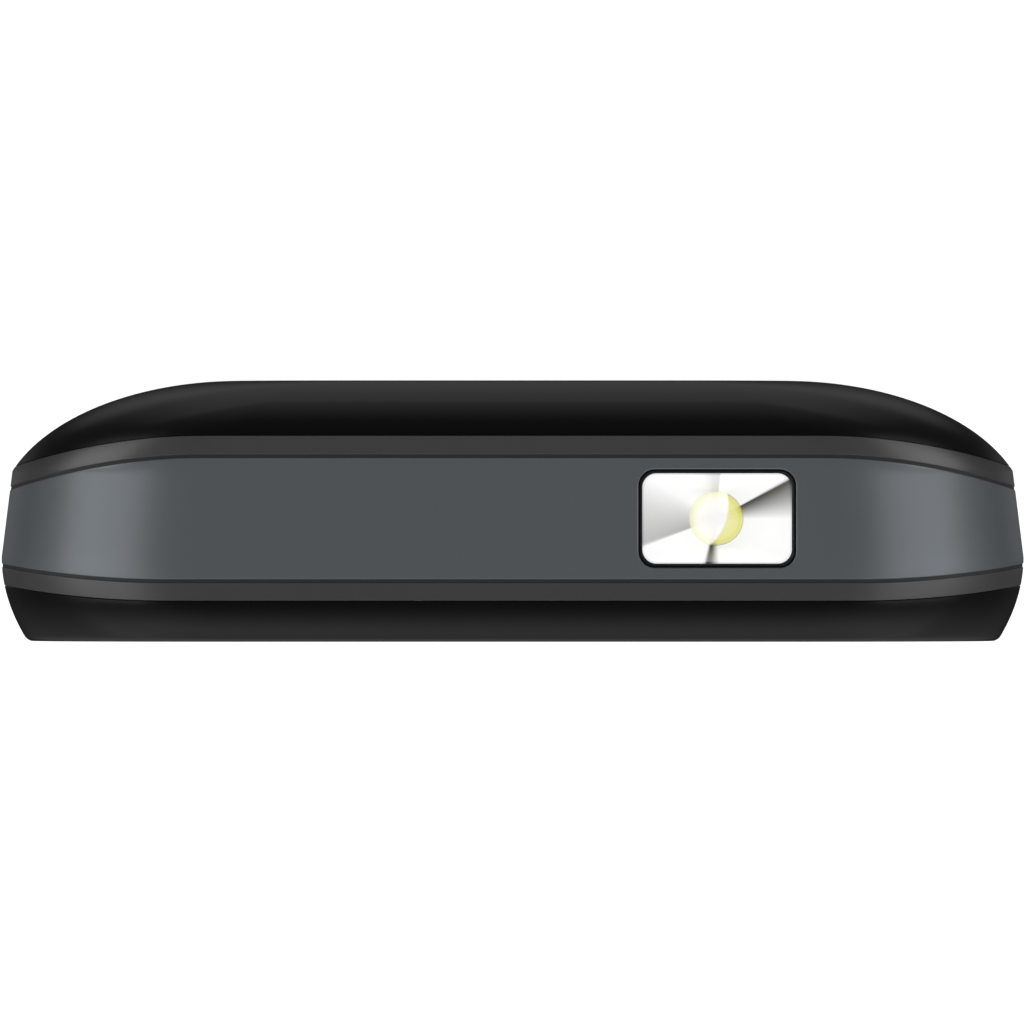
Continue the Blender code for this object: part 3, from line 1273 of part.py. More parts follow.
def usb_mouth(extra):
    """The mouth's outline in X and depth."""
    return rounded_outline(USB_MOUTH_WIDTH / 2 + extra, USB_MOUTH_HEIGHT / 2 + extra, USB_CORNER,
                           SMALL_CORNER_STEPS)


def make_bottom_end():
    """The socket for charging, the audio jack, the microphone and the antenna."""
    low = end_wall_inside()
    mouth = usb_mouth(0)
    shell = rounded_outline(USB_WIDTH / 2, USB_RISE / 2, USB_CORNER, SMALL_CORNER_STEPS)
    depth = usb_depth()
    usb = loft("usb_socket", [across_height(mouth, low + USB_MOUTH_LENGTH, depth),
                              across_height(mouth, low, depth), across_height(shell, low, depth),
                              across_height(shell, low + USB_LENGTH, depth)], "bright_steel")

    def jack_ring(radius, height):
        points = [(JACK_X + x, z) for x, z in seat_outline(radius)]
        return across_height(points, height, JACK_DEPTH)

    half = JACK_SIZE / 2
    square = [(JACK_X + x, z) for x, z in rounded_outline(half, half, SOCKET_CORNER, CORNER_STEPS)]
    jack = loft("audio_jack", [jack_ring(JACK_BORE_RADIUS, low + JACK_BORE_LENGTH),
                               jack_ring(JACK_BORE_RADIUS, low),
                               across_height(square, low, JACK_DEPTH),
                               across_height(square, low + JACK_LENGTH, JACK_DEPTH)],
                "chassis_black")
    microphone = on_board("microphone", MICROPHONE_WIDTH, MICROPHONE_LENGTH, MICROPHONE_RISE,
                          MICROPHONE_X, low + MICROPHONE_LENGTH / 2, "gold_contact")
    antenna_front = LEDGE_DEPTH + CLOSE_GAP
    antenna = bevelled_slab("antenna", ANTENNA_WIDTH / 2, ANTENNA_LENGTH / 2, SOCKET_CORNER,
                            antenna_front, antenna_front + ANTENNA_THICKNESS, KEY_RECESS,
                            "gold_contact", (ANTENNA_X, ANTENNA_HEIGHT))
    return [usb, jack, microphone, antenna]


def cut_frame_openings(frame):
    """Opens the slate ring for the torch, the charging plug, the audio plug and the microphone."""
    through = RING_WALL + CUT_OVERRUN
    top = [across_torch(torch_outline(0), height)
           for height in (BODY_LENGTH - through, BODY_LENGTH + CUT_OVERRUN)]
    usb = [across_height(usb_mouth(FIT_GAP), height, usb_depth())
           for height in (-CUT_OVERRUN, through)]
    jack = [across_height(round_outline(JACK_BORE_RADIUS + FIT_GAP, ROUND_SIDES, (JACK_X, 0)),
                          height, JACK_DEPTH) for height in (-CUT_OVERRUN, through)]
    sound = [across_height(round_outline(MICROPHONE_HOLE_RADIUS, SMALL_ROUND_SIDES,
                                         (MICROPHONE_X, 0)), height, microphone_depth())
             for height in (-CUT_OVERRUN, through)]
    guides = [loft("opening", rings, None) for rings in (top, usb, jack, sound)]
    cut(frame, guides, "openings")


def make_shell():
    """The stack of outer pieces, from the front housing to the battery cover."""
    half_gap = SEAM_GAP / 2
    front_trim = band("front_trim", front_seam(FRONT_SPLIT_DEPTH, half_gap),
                      front_seam(FRAME_FRONT, -half_gap), "trim_grey")
    frame = band("mid_frame", front_seam(FRAME_FRONT, half_gap),
                 rear_seam(FRAME_BACK, -half_gap), "slate_paint")
    cut_frame_openings(frame)
    rear_trim = band("rear_trim", rear_seam(FRAME_BACK, half_gap),
                     rear_seam(COVER_SPLIT_DEPTH, -half_gap), "trim_grey")
    return [make_front_housing(), front_trim, frame, rear_trim]


def main():
    clear_scene()
    fixed = make_shell()
    fixed += make_display()
    fixed += [make_main_board(), make_rear_chassis(), make_keypad_mat(), make_dome_sheet()]
    fixed += [make_screw(place, number + 1) for number, place in enumerate(SCREWS)]
    fixed += make_torch()
    fixed += make_camera_and_speakers()
    fixed += make_bottom_end()
    sockets, gate = make_card_sockets()
    fixed += sockets
    battery, connector = make_battery()
    motor, weight = make_motor()
    fixed += [connector, motor]
    moving = [make_key(*key) for key in keys()] + [make_nav_ring(), gate, battery, weight]
    cover = [make_battery_cover(), *make_cover_trim()]

    phone = empty("phone")
    cover_group = empty("cover_slide", (0, back_of(BODY_DEPTH), MID_HEIGHT))
    carried_by(cover_group, cover)
    carried_by(phone, [cover_group, *fixed, *moving])


main()
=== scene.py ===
# %% [markdown]
# # A bar phone with a torch, seen from its top end
#
# The CAD model is loaded first and stays as it is. Everything that follows either gives a CAD
# node a better finish or stands for it with a finer piece in the same place. Lengths are in
# metres, the front faces -Y, the top end with the torch points to +Z, and +X is on the right
# for somebody who looks at the keys.

from math import pi, radians

import bmesh
import bpy
import numpy as np
from mathutils import Matrix, Vector


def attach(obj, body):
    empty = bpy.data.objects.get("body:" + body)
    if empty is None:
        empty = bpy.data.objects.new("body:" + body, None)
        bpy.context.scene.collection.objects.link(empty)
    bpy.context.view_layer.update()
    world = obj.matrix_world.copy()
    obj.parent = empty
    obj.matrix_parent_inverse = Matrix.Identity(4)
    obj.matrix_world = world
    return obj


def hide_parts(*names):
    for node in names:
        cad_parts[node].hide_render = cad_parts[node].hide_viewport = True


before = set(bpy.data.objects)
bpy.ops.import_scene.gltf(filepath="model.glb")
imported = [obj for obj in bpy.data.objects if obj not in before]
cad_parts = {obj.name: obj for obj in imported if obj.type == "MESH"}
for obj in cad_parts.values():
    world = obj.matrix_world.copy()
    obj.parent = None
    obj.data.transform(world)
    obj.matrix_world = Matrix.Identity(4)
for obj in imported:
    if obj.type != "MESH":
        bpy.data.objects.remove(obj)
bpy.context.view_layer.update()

# %% [markdown]
# ## The sizes that the shell is drawn from
#
# The finer pieces have to close against each other just as the CAD solids do, so they are drawn
# from the same few sizes. A depth is counted from the front face towards the back.

# %% Sizes of the shell
MM = 0.001


def mm(*sizes):
    """Sizes in millimetres as metres."""
    return tuple(size * MM for size in sizes)


WIDTH, LENGTH, DEPTH = mm(50.0, 116.0, 12.72)
HALF_WIDTH, HALF_LENGTH, HALF_DEPTH = WIDTH / 2, LENGTH / 2, DEPTH / 2
CORNER, CORNER_TIGHTENING = 10.0 * MM, 0.4
WAIST, SIDE_FLANK, END_FLANK = mm(4.10, 1.27, 0.65)
FRONT_EDGE = 0.25 * MM
CREASE_INSET, BACK_FLAT_INSET = mm(0.53, 11.62)
SIDE_DOME_DROP, END_DOME_REACH = mm(6.72, 3.5)
FRONT_SPLIT, FRAME_FRONT = mm(2.0, 2.96)
FRAME_BACK, COVER_SPLIT = mm(9.03, 10.03)
FRONT_SWEEP, FRONT_SWEEP_RUN = mm(0.75, 8.0)
REAR_SWEEP, REAR_SWEEP_RUN = mm(1.71, 10.0)
CREASE = COVER_SPLIT - REAR_SWEEP
RING_WALL, FRONT_WALL, COVER_WALL = mm(1.9, 1.6, 1.2)

# %% [markdown]
# ## A rounded outline that can be walked at any depth
#
# Every layer of the phone is a rectangle with round corners whose size changes with depth. Such
# an outline could be a bevelled curve, but then two layers would not share their points. Here
# each point of the outline is a fixed recipe, a corner's place plus a share of its radius, so
# one set of factors gives the outline at every depth and all rings have matching points.

# %% Outlines as factors


def outline_factors(corner_steps, side_steps):
    """Factors (corner sign x, corner sign z, cosine, sine) of the points of a rounded
    rectangle, from its right side upwards; points on a straight side lie between two corners."""
    turn = np.arange(corner_steps + 1) / corner_steps
    sign_x = np.repeat([[1.0], [-1.0], [-1.0], [1.0]], len(turn), axis=1)
    sign_z = np.repeat([[1.0], [1.0], [-1.0], [-1.0]], len(turn), axis=1)
    angle = (np.arange(4)[:, None] + turn) * pi / 2
    arcs = np.stack([sign_x, sign_z, np.cos(angle), np.sin(angle)], axis=-1)
    share = (np.arange(1, side_steps) / side_steps)[None, :, None]
    sides = arcs[:, -1:] * (1 - share) + np.roll(arcs[:, :1], -1, axis=0) * share
    return np.concatenate([arcs, sides], axis=1).reshape(-1, 4).T


SHELL = outline_factors(40, 12)
SMALL = outline_factors(12, 4)
FINE = outline_factors(24, 6)


def rounded(half_x, half_z, radius, centre=(0, 0), factors=SMALL):
    """x and z of a rounded rectangle: corner sign x (half size - radius) + radius x (cosine,
    sine), round a centre."""
    corner_x, corner_z, cosine, sine = factors
    x = centre[0] + corner_x * (half_x - radius) + cosine * radius
    z = centre[1] + corner_z * (half_z - radius) + sine * radius
    return x, z


def on_face(x, z, depth):
    """Points of a plane that faces the front: x, y = depth - half the phone's depth, and z."""
    return np.stack([x, 0 * x + depth - HALF_DEPTH, z], axis=-1)


print(SHELL.shape[1], "points round the shell,", SMALL.shape[1], "round a small piece")

# %% [markdown]
# ## The skin of the body
#
# Seen from the end, the body has a flared front edge, a nearly straight waist and a long
# elliptic dome at the back. Sculpting it would never match the CAD solids, so the same formulas
# give the half width and the half length at any depth.

# %% The body's skin


def flank(depth, reach, inset):
    """Inset x (1 - depth / reach) squared, plus a quarter circle at the front edge."""
    drawn = inset * np.clip(1 - depth / reach, 0, None) ** 2
    rest = np.clip(FRONT_EDGE - depth, 0, FRONT_EDGE)
    return drawn + FRONT_EDGE - np.sqrt(FRONT_EDGE ** 2 - rest ** 2)


def dome(depth, drop):
    """The half width of a unit ellipse, from 0 at the back face to 1 a drop in front of it."""
    below = np.clip((DEPTH - depth) / drop, 0, 1)
    return np.sqrt(2 * below - below ** 2)


def half_width_at(depth):
    """A flank up to the waist, a straight taper up to the crease, then a share of an ellipse."""
    front = HALF_WIDTH - flank(depth, WAIST, SIDE_FLANK)
    taper = HALF_WIDTH - CREASE_INSET * (depth - WAIST) / (CREASE - WAIST)
    share = dome(depth, SIDE_DOME_DROP) / dome(CREASE, SIDE_DOME_DROP)
    back = HALF_WIDTH - BACK_FLAT_INSET + (BACK_FLAT_INSET - CREASE_INSET) * share
    return np.where(depth <= WAIST, front, np.where(depth <= CREASE, taper, back))


def half_length_at(depth):
    """The half length less a flank at the front and less an elliptic dome at the back."""
    rounding = END_DOME_REACH * (1 - dome(depth, DEPTH - COVER_SPLIT))
    return HALF_LENGTH - flank(depth, FRONT_SPLIT, END_FLANK) - rounding


def skin(depths, inset=0.0):
    """Points (x, y, z) of the body's skin, one depth for each point of the outline, drawn in by
    an inset along the outline's own normal."""
    depths = np.asarray(depths, dtype=float)
    half_x = half_width_at(depths)
    radius = CORNER - CORNER_TIGHTENING * (HALF_WIDTH - half_x) - inset
    x, z = rounded(half_x - inset, half_length_at(depths) - inset, radius, (0, HALF_LENGTH), SHELL)
    return on_face(x, z, depths)


def front_seam(split):
    """A split line that is level at the ends and rises to the back along the sides: split +
    sweep x share squared, the share counted over the last run before the side."""
    def depth_at(x):
        share = np.clip((np.abs(x) - (HALF_WIDTH - FRONT_SWEEP_RUN)) / FRONT_SWEEP_RUN, 0, 1)
        return split + FRONT_SWEEP * share ** 2
    return depth_at


def rear_seam(split):
    """A split line that falls to the front along the sides: split - sweep x share squared."""
    def depth_at(x):
        share = np.clip((np.abs(x) - (HALF_WIDTH - REAR_SWEEP_RUN)) / REAR_SWEEP_RUN, 0, 1)
        return split - REAR_SWEEP * share ** 2
    return depth_at


MEET_ROUNDS = 14


def meet(seam, lift=0.0):
    """Depths at which the skin, lift metres behind the given depth, crosses a split line, found
    by putting each point's x back into the seam a few times."""
    depths = np.full(SHELL.shape[1], float(seam(0.0)))
    for _ in range(MEET_ROUNDS):
        depths = seam(skin(depths + lift)[:, 0])
    return depths


print("widest half width in mm:", round(float(half_width_at(WAIST)) / MM, 2))

# %% [markdown]
# ## From rings of points to a closed solid
#
# A solid is a stack of rings. Its faces join each ring to the next, and the first and last
# rings are either capped or joined to each other. One helper does that for every piece here,
# with the vertex and face numbers worked out as whole arrays.

# %% Rings to mesh
CRISP, PLAIN, SOFT, SOFTEST = 18, 32, 40, 50


def put_in_scene(mesh):
    """An object that shows a mesh and has its name."""
    made = bpy.data.objects.new(mesh.name, mesh)
    bpy.context.scene.collection.objects.link(made)
    return made


def smooth(mesh, sharp_from=PLAIN):
    """Smooth shading, with hard edges where two faces meet at more than an angle in degrees."""
    mesh.shade_smooth()
    mesh.set_sharp_from_angle(angle=radians(sharp_from))


def outward(mesh):
    """Turns all faces so that they point out of the solid."""
    shape = bmesh.new()
    shape.from_mesh(mesh)
    bmesh.ops.recalc_face_normals(shape, faces=shape.faces)
    shape.to_mesh(mesh)
    shape.free()


def solid(name, rings, closed=False, sharp_from=PLAIN):
    """A closed mesh: face (r, p) joins points p and p + 1 of ring r to those of ring r + 1."""
    rings = np.asarray(rings, dtype=float)
    count, around = rings.shape[:2]
    ring = np.arange(count if closed else count - 1)[:, None]
    point = np.arange(around)[None, :]
    after, above = (point + 1) % around, (ring + 1) % count
    faces = np.stack(np.broadcast_arrays(ring * around + point, ring * around + after,
                                         above * around + after, above * around + point), -1)
    faces = faces.reshape(-1, 4).tolist()
    if not closed:
        faces.append(list(range(around))[::-1])
        faces.append(list(range((count - 1) * around, count * around)))
    mesh = bpy.data.meshes.new(name)
    mesh.from_pydata(rings.reshape(-1, 3).tolist(), [], faces)
    outward(mesh)
    smooth(mesh, sharp_from)
    return put_in_scene(mesh)


print("a ring of the shell joins the next one with", SHELL.shape[1], "faces")

# %% [markdown]
# A piece is then an outline and a profile: a list of (inset, depth) pairs that gives its section,
# as the drawing of a turned part does. Most profiles are written in millimetres.

# %% Pieces from profiles
LEAST_RADIUS = 0.02 * MM


def front_ring_at(half_x, half_z, radius, centre, depth, factors=FINE):
    """One ring of a piece that faces the front: a rounded rectangle at a depth."""
    return on_face(*rounded(half_x, half_z, max(radius, LEAST_RADIUS), centre, factors), depth)


def end_ring_at(half_x, half_depth, radius, centre, height, factors=FINE):
    """One ring of a piece that faces an end: a rounded rectangle in x and depth at a height."""
    x, depth = rounded(half_x, half_depth, max(radius, LEAST_RADIUS), centre, factors)
    return np.stack([x, depth - HALF_DEPTH, 0 * x + height], axis=-1)


def drawn_in(ring_at, half, radius, centre, profile, factors):
    """One ring for each (inset, level) pair: half sizes - inset and radius - inset."""
    return [ring_at(half[0] - inset, half[1] - inset, radius - inset, centre, level, factors)
            for inset, level in profile]


def block(name, half, radius, centre, profile, factors=SMALL, sharp_from=PLAIN):
    """A solid that faces the front, with (inset, depth) pairs as its profile."""
    return solid(name, drawn_in(front_ring_at, half, radius, centre, profile, factors),
                 sharp_from=sharp_from)


def end_block(name, half, radius, centre, profile, factors=SMALL, closed=False):
    """A solid that faces an end, with (inset, height) pairs as its profile."""
    return solid(name, drawn_in(end_ring_at, half, radius, centre, profile, factors), closed)


def turned(name, centre, profile, closed=False):
    """A round piece that faces the back: (radius, depth) pairs turned about one axis."""
    return solid(name, [front_ring_at(radius, radius, radius, centre, depth)
                        for radius, depth in profile], closed)


def in_mm(pairs, base=0.0):
    """Pairs in millimetres as metres, the second number counted from a base."""
    return [(first * MM, base + second * MM) for first, second in pairs]


def round_over(radius, steps=5):
    """(inset, drop) pairs of a quarter circle, from the flat top to the side."""
    angle = np.linspace(0, pi / 2, steps + 1)
    return [(radius * (1 - s), radius * (1 - c)) for s, c in zip(np.sin(angle), np.cos(angle))]


print("round-over of 1 mm, first and last:", round_over(MM)[0], round_over(MM)[-1])

# %% [markdown]
# Pieces of one finish are joined to a single object. Openings are cut with a Boolean; a grid of
# faces with holes in it would give cleaner meshes, but a new grid for every opening.

# %% Joining and cutting


def merged(name, pieces):
    """One object out of several that were made with the same finish."""
    shape = bmesh.new()
    for piece in pieces:
        shape.from_mesh(piece.data)
        mesh = piece.data
        bpy.data.objects.remove(piece)
        bpy.data.meshes.remove(mesh)
    made = bpy.data.meshes.new(name)
    shape.to_mesh(made)
    shape.free()
    return put_in_scene(made)


def joined(name, pieces, sharp_from=PLAIN):
    """The same with smooth shading."""
    made = merged(name, pieces)
    smooth(made.data, sharp_from)
    return made


def carve(piece, cutters, sharp_from=PLAIN):
    """Cuts the cutters out of a piece and keeps the result as its mesh."""
    cutter = merged("cutter", cutters)
    boolean = piece.modifiers.new("openings", "BOOLEAN")
    boolean.operation, boolean.solver, boolean.object = "DIFFERENCE", "EXACT", cutter
    graph = bpy.context.evaluated_depsgraph_get()
    result = bpy.data.meshes.new_from_object(piece.evaluated_get(graph))
    piece.modifiers.clear()
    piece.data = result
    bpy.data.objects.remove(cutter)
    smooth(result, sharp_from)


def flared(lip, deep):
    """(inset, way in) pairs of an opening that is wider by a lip where it meets the skin."""
    return [(-lip, -MM), (-lip, 0), (-0.35 * lip, 0.35 * lip), (0, lip), (0, deep)]


print("an opening with a lip of 1 mm:", flared(MM, 2 * MM))

# %% [markdown]
# ## Helpers for node trees
#
# Every pattern here is arithmetic on a place followed by a ramp of tones. Written out, each
# node takes three or four lines; these helpers make one node a line, for the floor, the room
# and all materials alike.

# %% Node helpers


def set_inputs(node, values):
    """Sets the inputs that are named in a table of values."""
    for socket, value in values.items():
        node.inputs[socket].default_value = value


def math(tree, operation, first, second=None, third=None):
    """One Math node; a number sets a socket and a socket is linked to it."""
    node = tree.nodes.new("ShaderNodeMath")
    node.operation = operation
    for socket, value in zip(node.inputs, (first, second, third)):
        if isinstance(value, (int, float)):
            socket.default_value = value
        elif value is not None:
            tree.links.new(value, socket)
    return node.outputs[0]


def colour_ramp(tree, factor, stops, interpolation="LINEAR"):
    """A ColorRamp with (position, grey or colour) stops."""
    node = tree.nodes.new("ShaderNodeValToRGB")
    node.color_ramp.interpolation = interpolation
    band = node.color_ramp.elements
    while len(band) < len(stops):
        band.new(0.5)
    for element, (place, colour) in zip(band, stops):
        element.position = place
        element.color = (*colour, 1) if isinstance(colour, tuple) else (colour,) * 3 + (1,)
    tree.links.new(factor, node.inputs[0])
    return node.outputs[0]


def mixed(tree, share, first, second, blend="MIX"):
    """One colour Mix node; a tuple sets a socket and a socket is linked to it."""
    node = tree.nodes.new("ShaderNodeMix")
    node.data_type, node.blend_type = "RGBA", blend
    for socket, value in ((node.inputs["Factor"], share), (node.inputs[6], first),
                          (node.inputs[7], second)):
        if isinstance(value, tuple):
            socket.default_value = (*value, 1)
        elif isinstance(value, (int, float)):
            socket.default_value = value
        else:
            tree.links.new(value, socket)
    return node.outputs[2]


print("one node a line:", [helper.__name__ for helper in (math, colour_ramp, mixed)])

# %% [markdown]
# Several finishes need the place on the part: the torch's bowl and lamp are toned round one
# axis, meshes are dotted, boards carry tracks. The place is read from Object coordinates, in
# metres, so a pattern has a real size. Images could do the same, but not at every distance.

# %% Places and patterns


def place_in(tree, centre=(0, 0, 0), kind="Object"):
    """x, y and z of the shaded point less a centre."""
    at, offset = tree.nodes.new("ShaderNodeTexCoord"), tree.nodes.new("ShaderNodeVectorMath")
    offset.operation = "SUBTRACT"
    offset.inputs[1].default_value = centre
    parts = tree.nodes.new("ShaderNodeSeparateXYZ")
    tree.links.new(at.outputs[kind], offset.inputs[0])
    tree.links.new(offset.outputs[0], parts.inputs[0])
    return tuple(parts.outputs)


def radius_of(tree, x, y):
    """The square root of x squared plus y squared."""
    return math(tree, "SQRT", math(tree, "MULTIPLY_ADD", x, x, math(tree, "MULTIPLY", y, y)))


def shader_of(look):
    """The shader node of a material."""
    return look.node_tree.nodes["Principled BSDF"]


def feed(look, colour=None, height=None, depth=0.0, glow=None):
    """Puts a pattern in the material's shader; a height goes in through a bump."""
    shader, links = shader_of(look), look.node_tree.links
    if colour:
        links.new(colour, shader.inputs["Base Color"])
    if glow:
        links.new(glow, shader.inputs["Emission Color"])
        shader.inputs["Emission Strength"].default_value = 1
    if height:
        bump = look.node_tree.nodes.new("ShaderNodeBump")
        set_inputs(bump, {"Strength": 1, "Distance": depth})
        links.new(height, bump.inputs["Height"])
        links.new(bump.outputs["Normal"], shader.inputs["Normal"])


print("patterns are laid out in metres, so a dot of 0.1 mm is", 0.1 * MM)

# %% [markdown]
# ## Camera and studio light
#
# The photograph looks straight at the top end from far away, so the camera stands above the
# phone with a very long lens. The slate frame shows a bright band at each round corner where its
# surface leans 30 degrees outwards, which is where a lamp at the side, 30 degrees above the
# floor, is mirrored. The trim behind it glows at the corners too, and a narrow strip low behind
# each side is what it mirrors. Lamps that make these images light no paint, and the fills that
# light the paint make no images.

# %% Camera and lamps
scene = bpy.context.scene
scene.view_settings.view_transform = "Standard"

VIEW_FROM, LONG_LENS, SENSOR, CLIP = (-0.03 * MM, -0.05 * MM, 1.4976), 1000, 36, (0.05, 20)
camera_data = bpy.data.cameras.new("top_view")
camera_data.lens, camera_data.sensor_width = LONG_LENS, SENSOR
camera_data.clip_start, camera_data.clip_end = CLIP
camera = bpy.data.objects.new("top_view", camera_data)
camera.location = VIEW_FROM
scene.collection.objects.link(camera)
scene.camera = camera


def softbox(name, place, size, power):
    """A rectangular lamp at a place, turned towards the middle of the phone."""
    data = bpy.data.lights.new(name, "AREA")
    data.shape, data.size, data.size_y, data.energy = "RECTANGLE", size[0], size[1], power
    lamp = bpy.data.objects.new(name, data)
    lamp.location = place
    towards = Vector((0, 0, HALF_LENGTH)) - Vector(place)
    lamp.rotation_euler = towards.to_track_quat("-Z", "Y").to_euler()
    lamp.visible_camera = False
    scene.collection.objects.link(lamp)
    return lamp


IMAGES = (("side_lamp", (0.87, 0, 0.56), (0.34, 0.92), (1.86, 1.63)),
          ("rear_strip", (0.317, 0.186, 0.150), (0.06, 0.27), (0.20, 0.20)))
FILLS = (("front_fill", (0, -0.80, 0.75), (2.0, 0.5), 3.4),
         ("overhead_fill", (0, 0, 2.2), (1.6, 1.6), 8.7))
for number, side in enumerate((-1, 1)):
    for name, (x, y, z), size, powers in IMAGES:
        lamp = softbox(f"{name}_{side}", (side * x, y, z), size, powers[number])
        lamp.visible_diffuse = False
    softbox(f"side_fill_{side}", (side * 0.90, 0, 0.20), (0.5, 0.3), 2.6).visible_glossy = False
for fill in FILLS:
    softbox(*fill).visible_glossy = False
print("camera at", tuple(camera.location), "and", len(bpy.data.lights), "lamps")

# %% [markdown]
# ## Floor and room
#
# The phone stands on its bottom end on a pale floor. The black layers show nothing but what they
# mirror: grey from in front of the phone, a brighter patch straight behind it, and dark sides.
# That is a room with a lit front and unlit sides. It could be built from cards and curtains;
# here the room and the floor carry a ramp of tones along y, which mirrors see and the camera
# does not.

# %% Floor and room
ROOM_TONES = ((-1.0, 0.65), (-0.92, 0.85), (-0.78, 1.0), (-0.55, 0.50), (-0.33, 0.20),
              (-0.10, 0.09), (0.0, 0.07), (0.45, 0.11), (0.67, 0.17), (0.80, 0.30),
              (0.90, 0.42), (1.0, 0.60))
FLOOR_TONES = ((-1.0, 0.95), (-0.8, 0.68), (-0.6, 0.42), (-0.4, 0.18), (-0.2, 0.06), (0.0, 0.02),
               (0.6, 0.04), (0.8, 0.11), (0.9, 0.40), (1.0, 0.80))
NEAR_TONES = ((0.03, 0.0), (0.075, 0.22), (0.10, 0.22), (0.155, 0.0))
NEAR_SHARE = ((-0.15, 0.0), (0.0, 0.9), (0.30, 0.8), (0.47, 0.3), (0.56, 0.0), (0.62, 0.04),
              (0.69, 0.3), (0.74, 0.6), (0.81, 0.8), (0.87, 0.95), (1.0, 1.0))
FLOOR_PAINT, MIRRORED_SHADED_PAINT, FLOOR_WHITE, FLOOR_START, NEAR_REACH = 0.38, 0.03, 0.92, 0.05, 0.2
FLOOR_HALF, FLOOR_CELLS, FLOOR_DROP = 9, 6, 0.02 * MM


def tones_along_y(tree, y, tones):
    """The ramp of (y, tone) pairs for a y that runs from -1 to 1."""
    turn = math(tree, "MULTIPLY_ADD", y, 0.5, 0.5)
    return colour_ramp(tree, turn, [((place + 1) / 2, tone) for place, tone in tones])


def stage_material():
    """White paint that also glows for camera and glass rays, so that the floor is white in the
    picture and keeps the phone's shadow. Mirror rays see a darker, shaded copy of the paint and
    a glow of painted light instead: the floor's tone for y / r x (r - 0.05) / (r + 0.05) at a
    distance r from the phone, which fades to a painted shadow close to it, and not less than the
    near tone for r x its share for y / r."""
    look = bpy.data.materials.new("pale_floor")
    look.use_nodes = True
    tree, shader = look.node_tree, shader_of(look)
    set_inputs(shader, {"Roughness": 0.9, "Specular IOR Level": 0.1,
                        "Emission Color": (1, 1, 1, 1)})
    path = tree.nodes.new("ShaderNodeLightPath").outputs
    # Painted shade: mirror rays see a darker copy of the floor's paint.
    paint = mixed(tree, path["Is Glossy Ray"], (FLOOR_PAINT,) * 3, (MIRRORED_SHADED_PAINT,) * 3)
    tree.links.new(paint, shader.inputs["Base Color"])

    x, y, z = place_in(tree)
    reach = math(tree, "MAXIMUM", radius_of(tree, x, y), 0.01)
    side = math(tree, "DIVIDE", y, reach)
    # Painted shadow: the mirrored glow fades out close to the phone.
    clear = math(tree, "MAXIMUM", math(tree, "SUBTRACT", reach, FLOOR_START), 0.0)
    painted_shadow_fade = math(tree, "DIVIDE", clear, math(tree, "ADD", reach, FLOOR_START))
    near = colour_ramp(tree, math(tree, "MULTIPLY", reach, 1 / NEAR_REACH),
                       [(place / NEAR_REACH, tone) for place, tone in NEAR_TONES])
    far = math(tree, "MULTIPLY", tones_along_y(tree, side, FLOOR_TONES), painted_shadow_fade)
    near = math(tree, "MULTIPLY", near, tones_along_y(tree, side, NEAR_SHARE))
    glow = math(tree, "MULTIPLY", path["Is Glossy Ray"], math(tree, "MAXIMUM", far, near))
    seen = math(tree, "MAXIMUM", path["Is Camera Ray"], path["Is Transmission Ray"])
    strength = math(tree, "MAXIMUM", math(tree, "MULTIPLY", seen, FLOOR_WHITE), glow)
    tree.links.new(strength, shader.inputs["Emission Strength"])
    return look


edges = np.linspace(-FLOOR_HALF, FLOOR_HALF, FLOOR_CELLS + 1)
x, y = np.meshgrid(edges, edges)
points = np.stack([x, y, 0 * x - FLOOR_DROP], axis=-1).reshape(-1, 3)
row = np.arange(FLOOR_CELLS)
first = (row[:, None] * (FLOOR_CELLS + 1) + row).reshape(-1, 1)
cells = first + np.array([0, 1, FLOOR_CELLS + 2, FLOOR_CELLS + 1])
floor_mesh = bpy.data.meshes.new("floor")
floor_mesh.from_pydata(points.tolist(), [], cells.tolist())
floor_mesh.materials.append(stage_material())
floor = put_in_scene(floor_mesh)


def studio_room():
    """The room's tone for y - half of |x| x y behind the phone, and for y in front of it; white
    where the camera sees it."""
    world = bpy.data.worlds.new("studio")
    world.use_nodes = True
    tree = world.node_tree
    x, y, z = place_in(tree, kind="Generated")
    behind = math(tree, "MULTIPLY", math(tree, "ABSOLUTE", x), math(tree, "MAXIMUM", y, 0.0))
    tone = tones_along_y(tree, math(tree, "MULTIPLY_ADD", behind, -0.5, y), ROOM_TONES)
    seen = tree.nodes.new("ShaderNodeLightPath").outputs["Is Camera Ray"]
    tree.links.new(mixed(tree, seen, tone, (1, 1, 1)), tree.nodes["Background"].inputs["Color"])
    return world


scene.world = studio_room()
print("tones: room", len(ROOM_TONES), "floor", len(FLOOR_TONES), "near", len(NEAR_TONES))
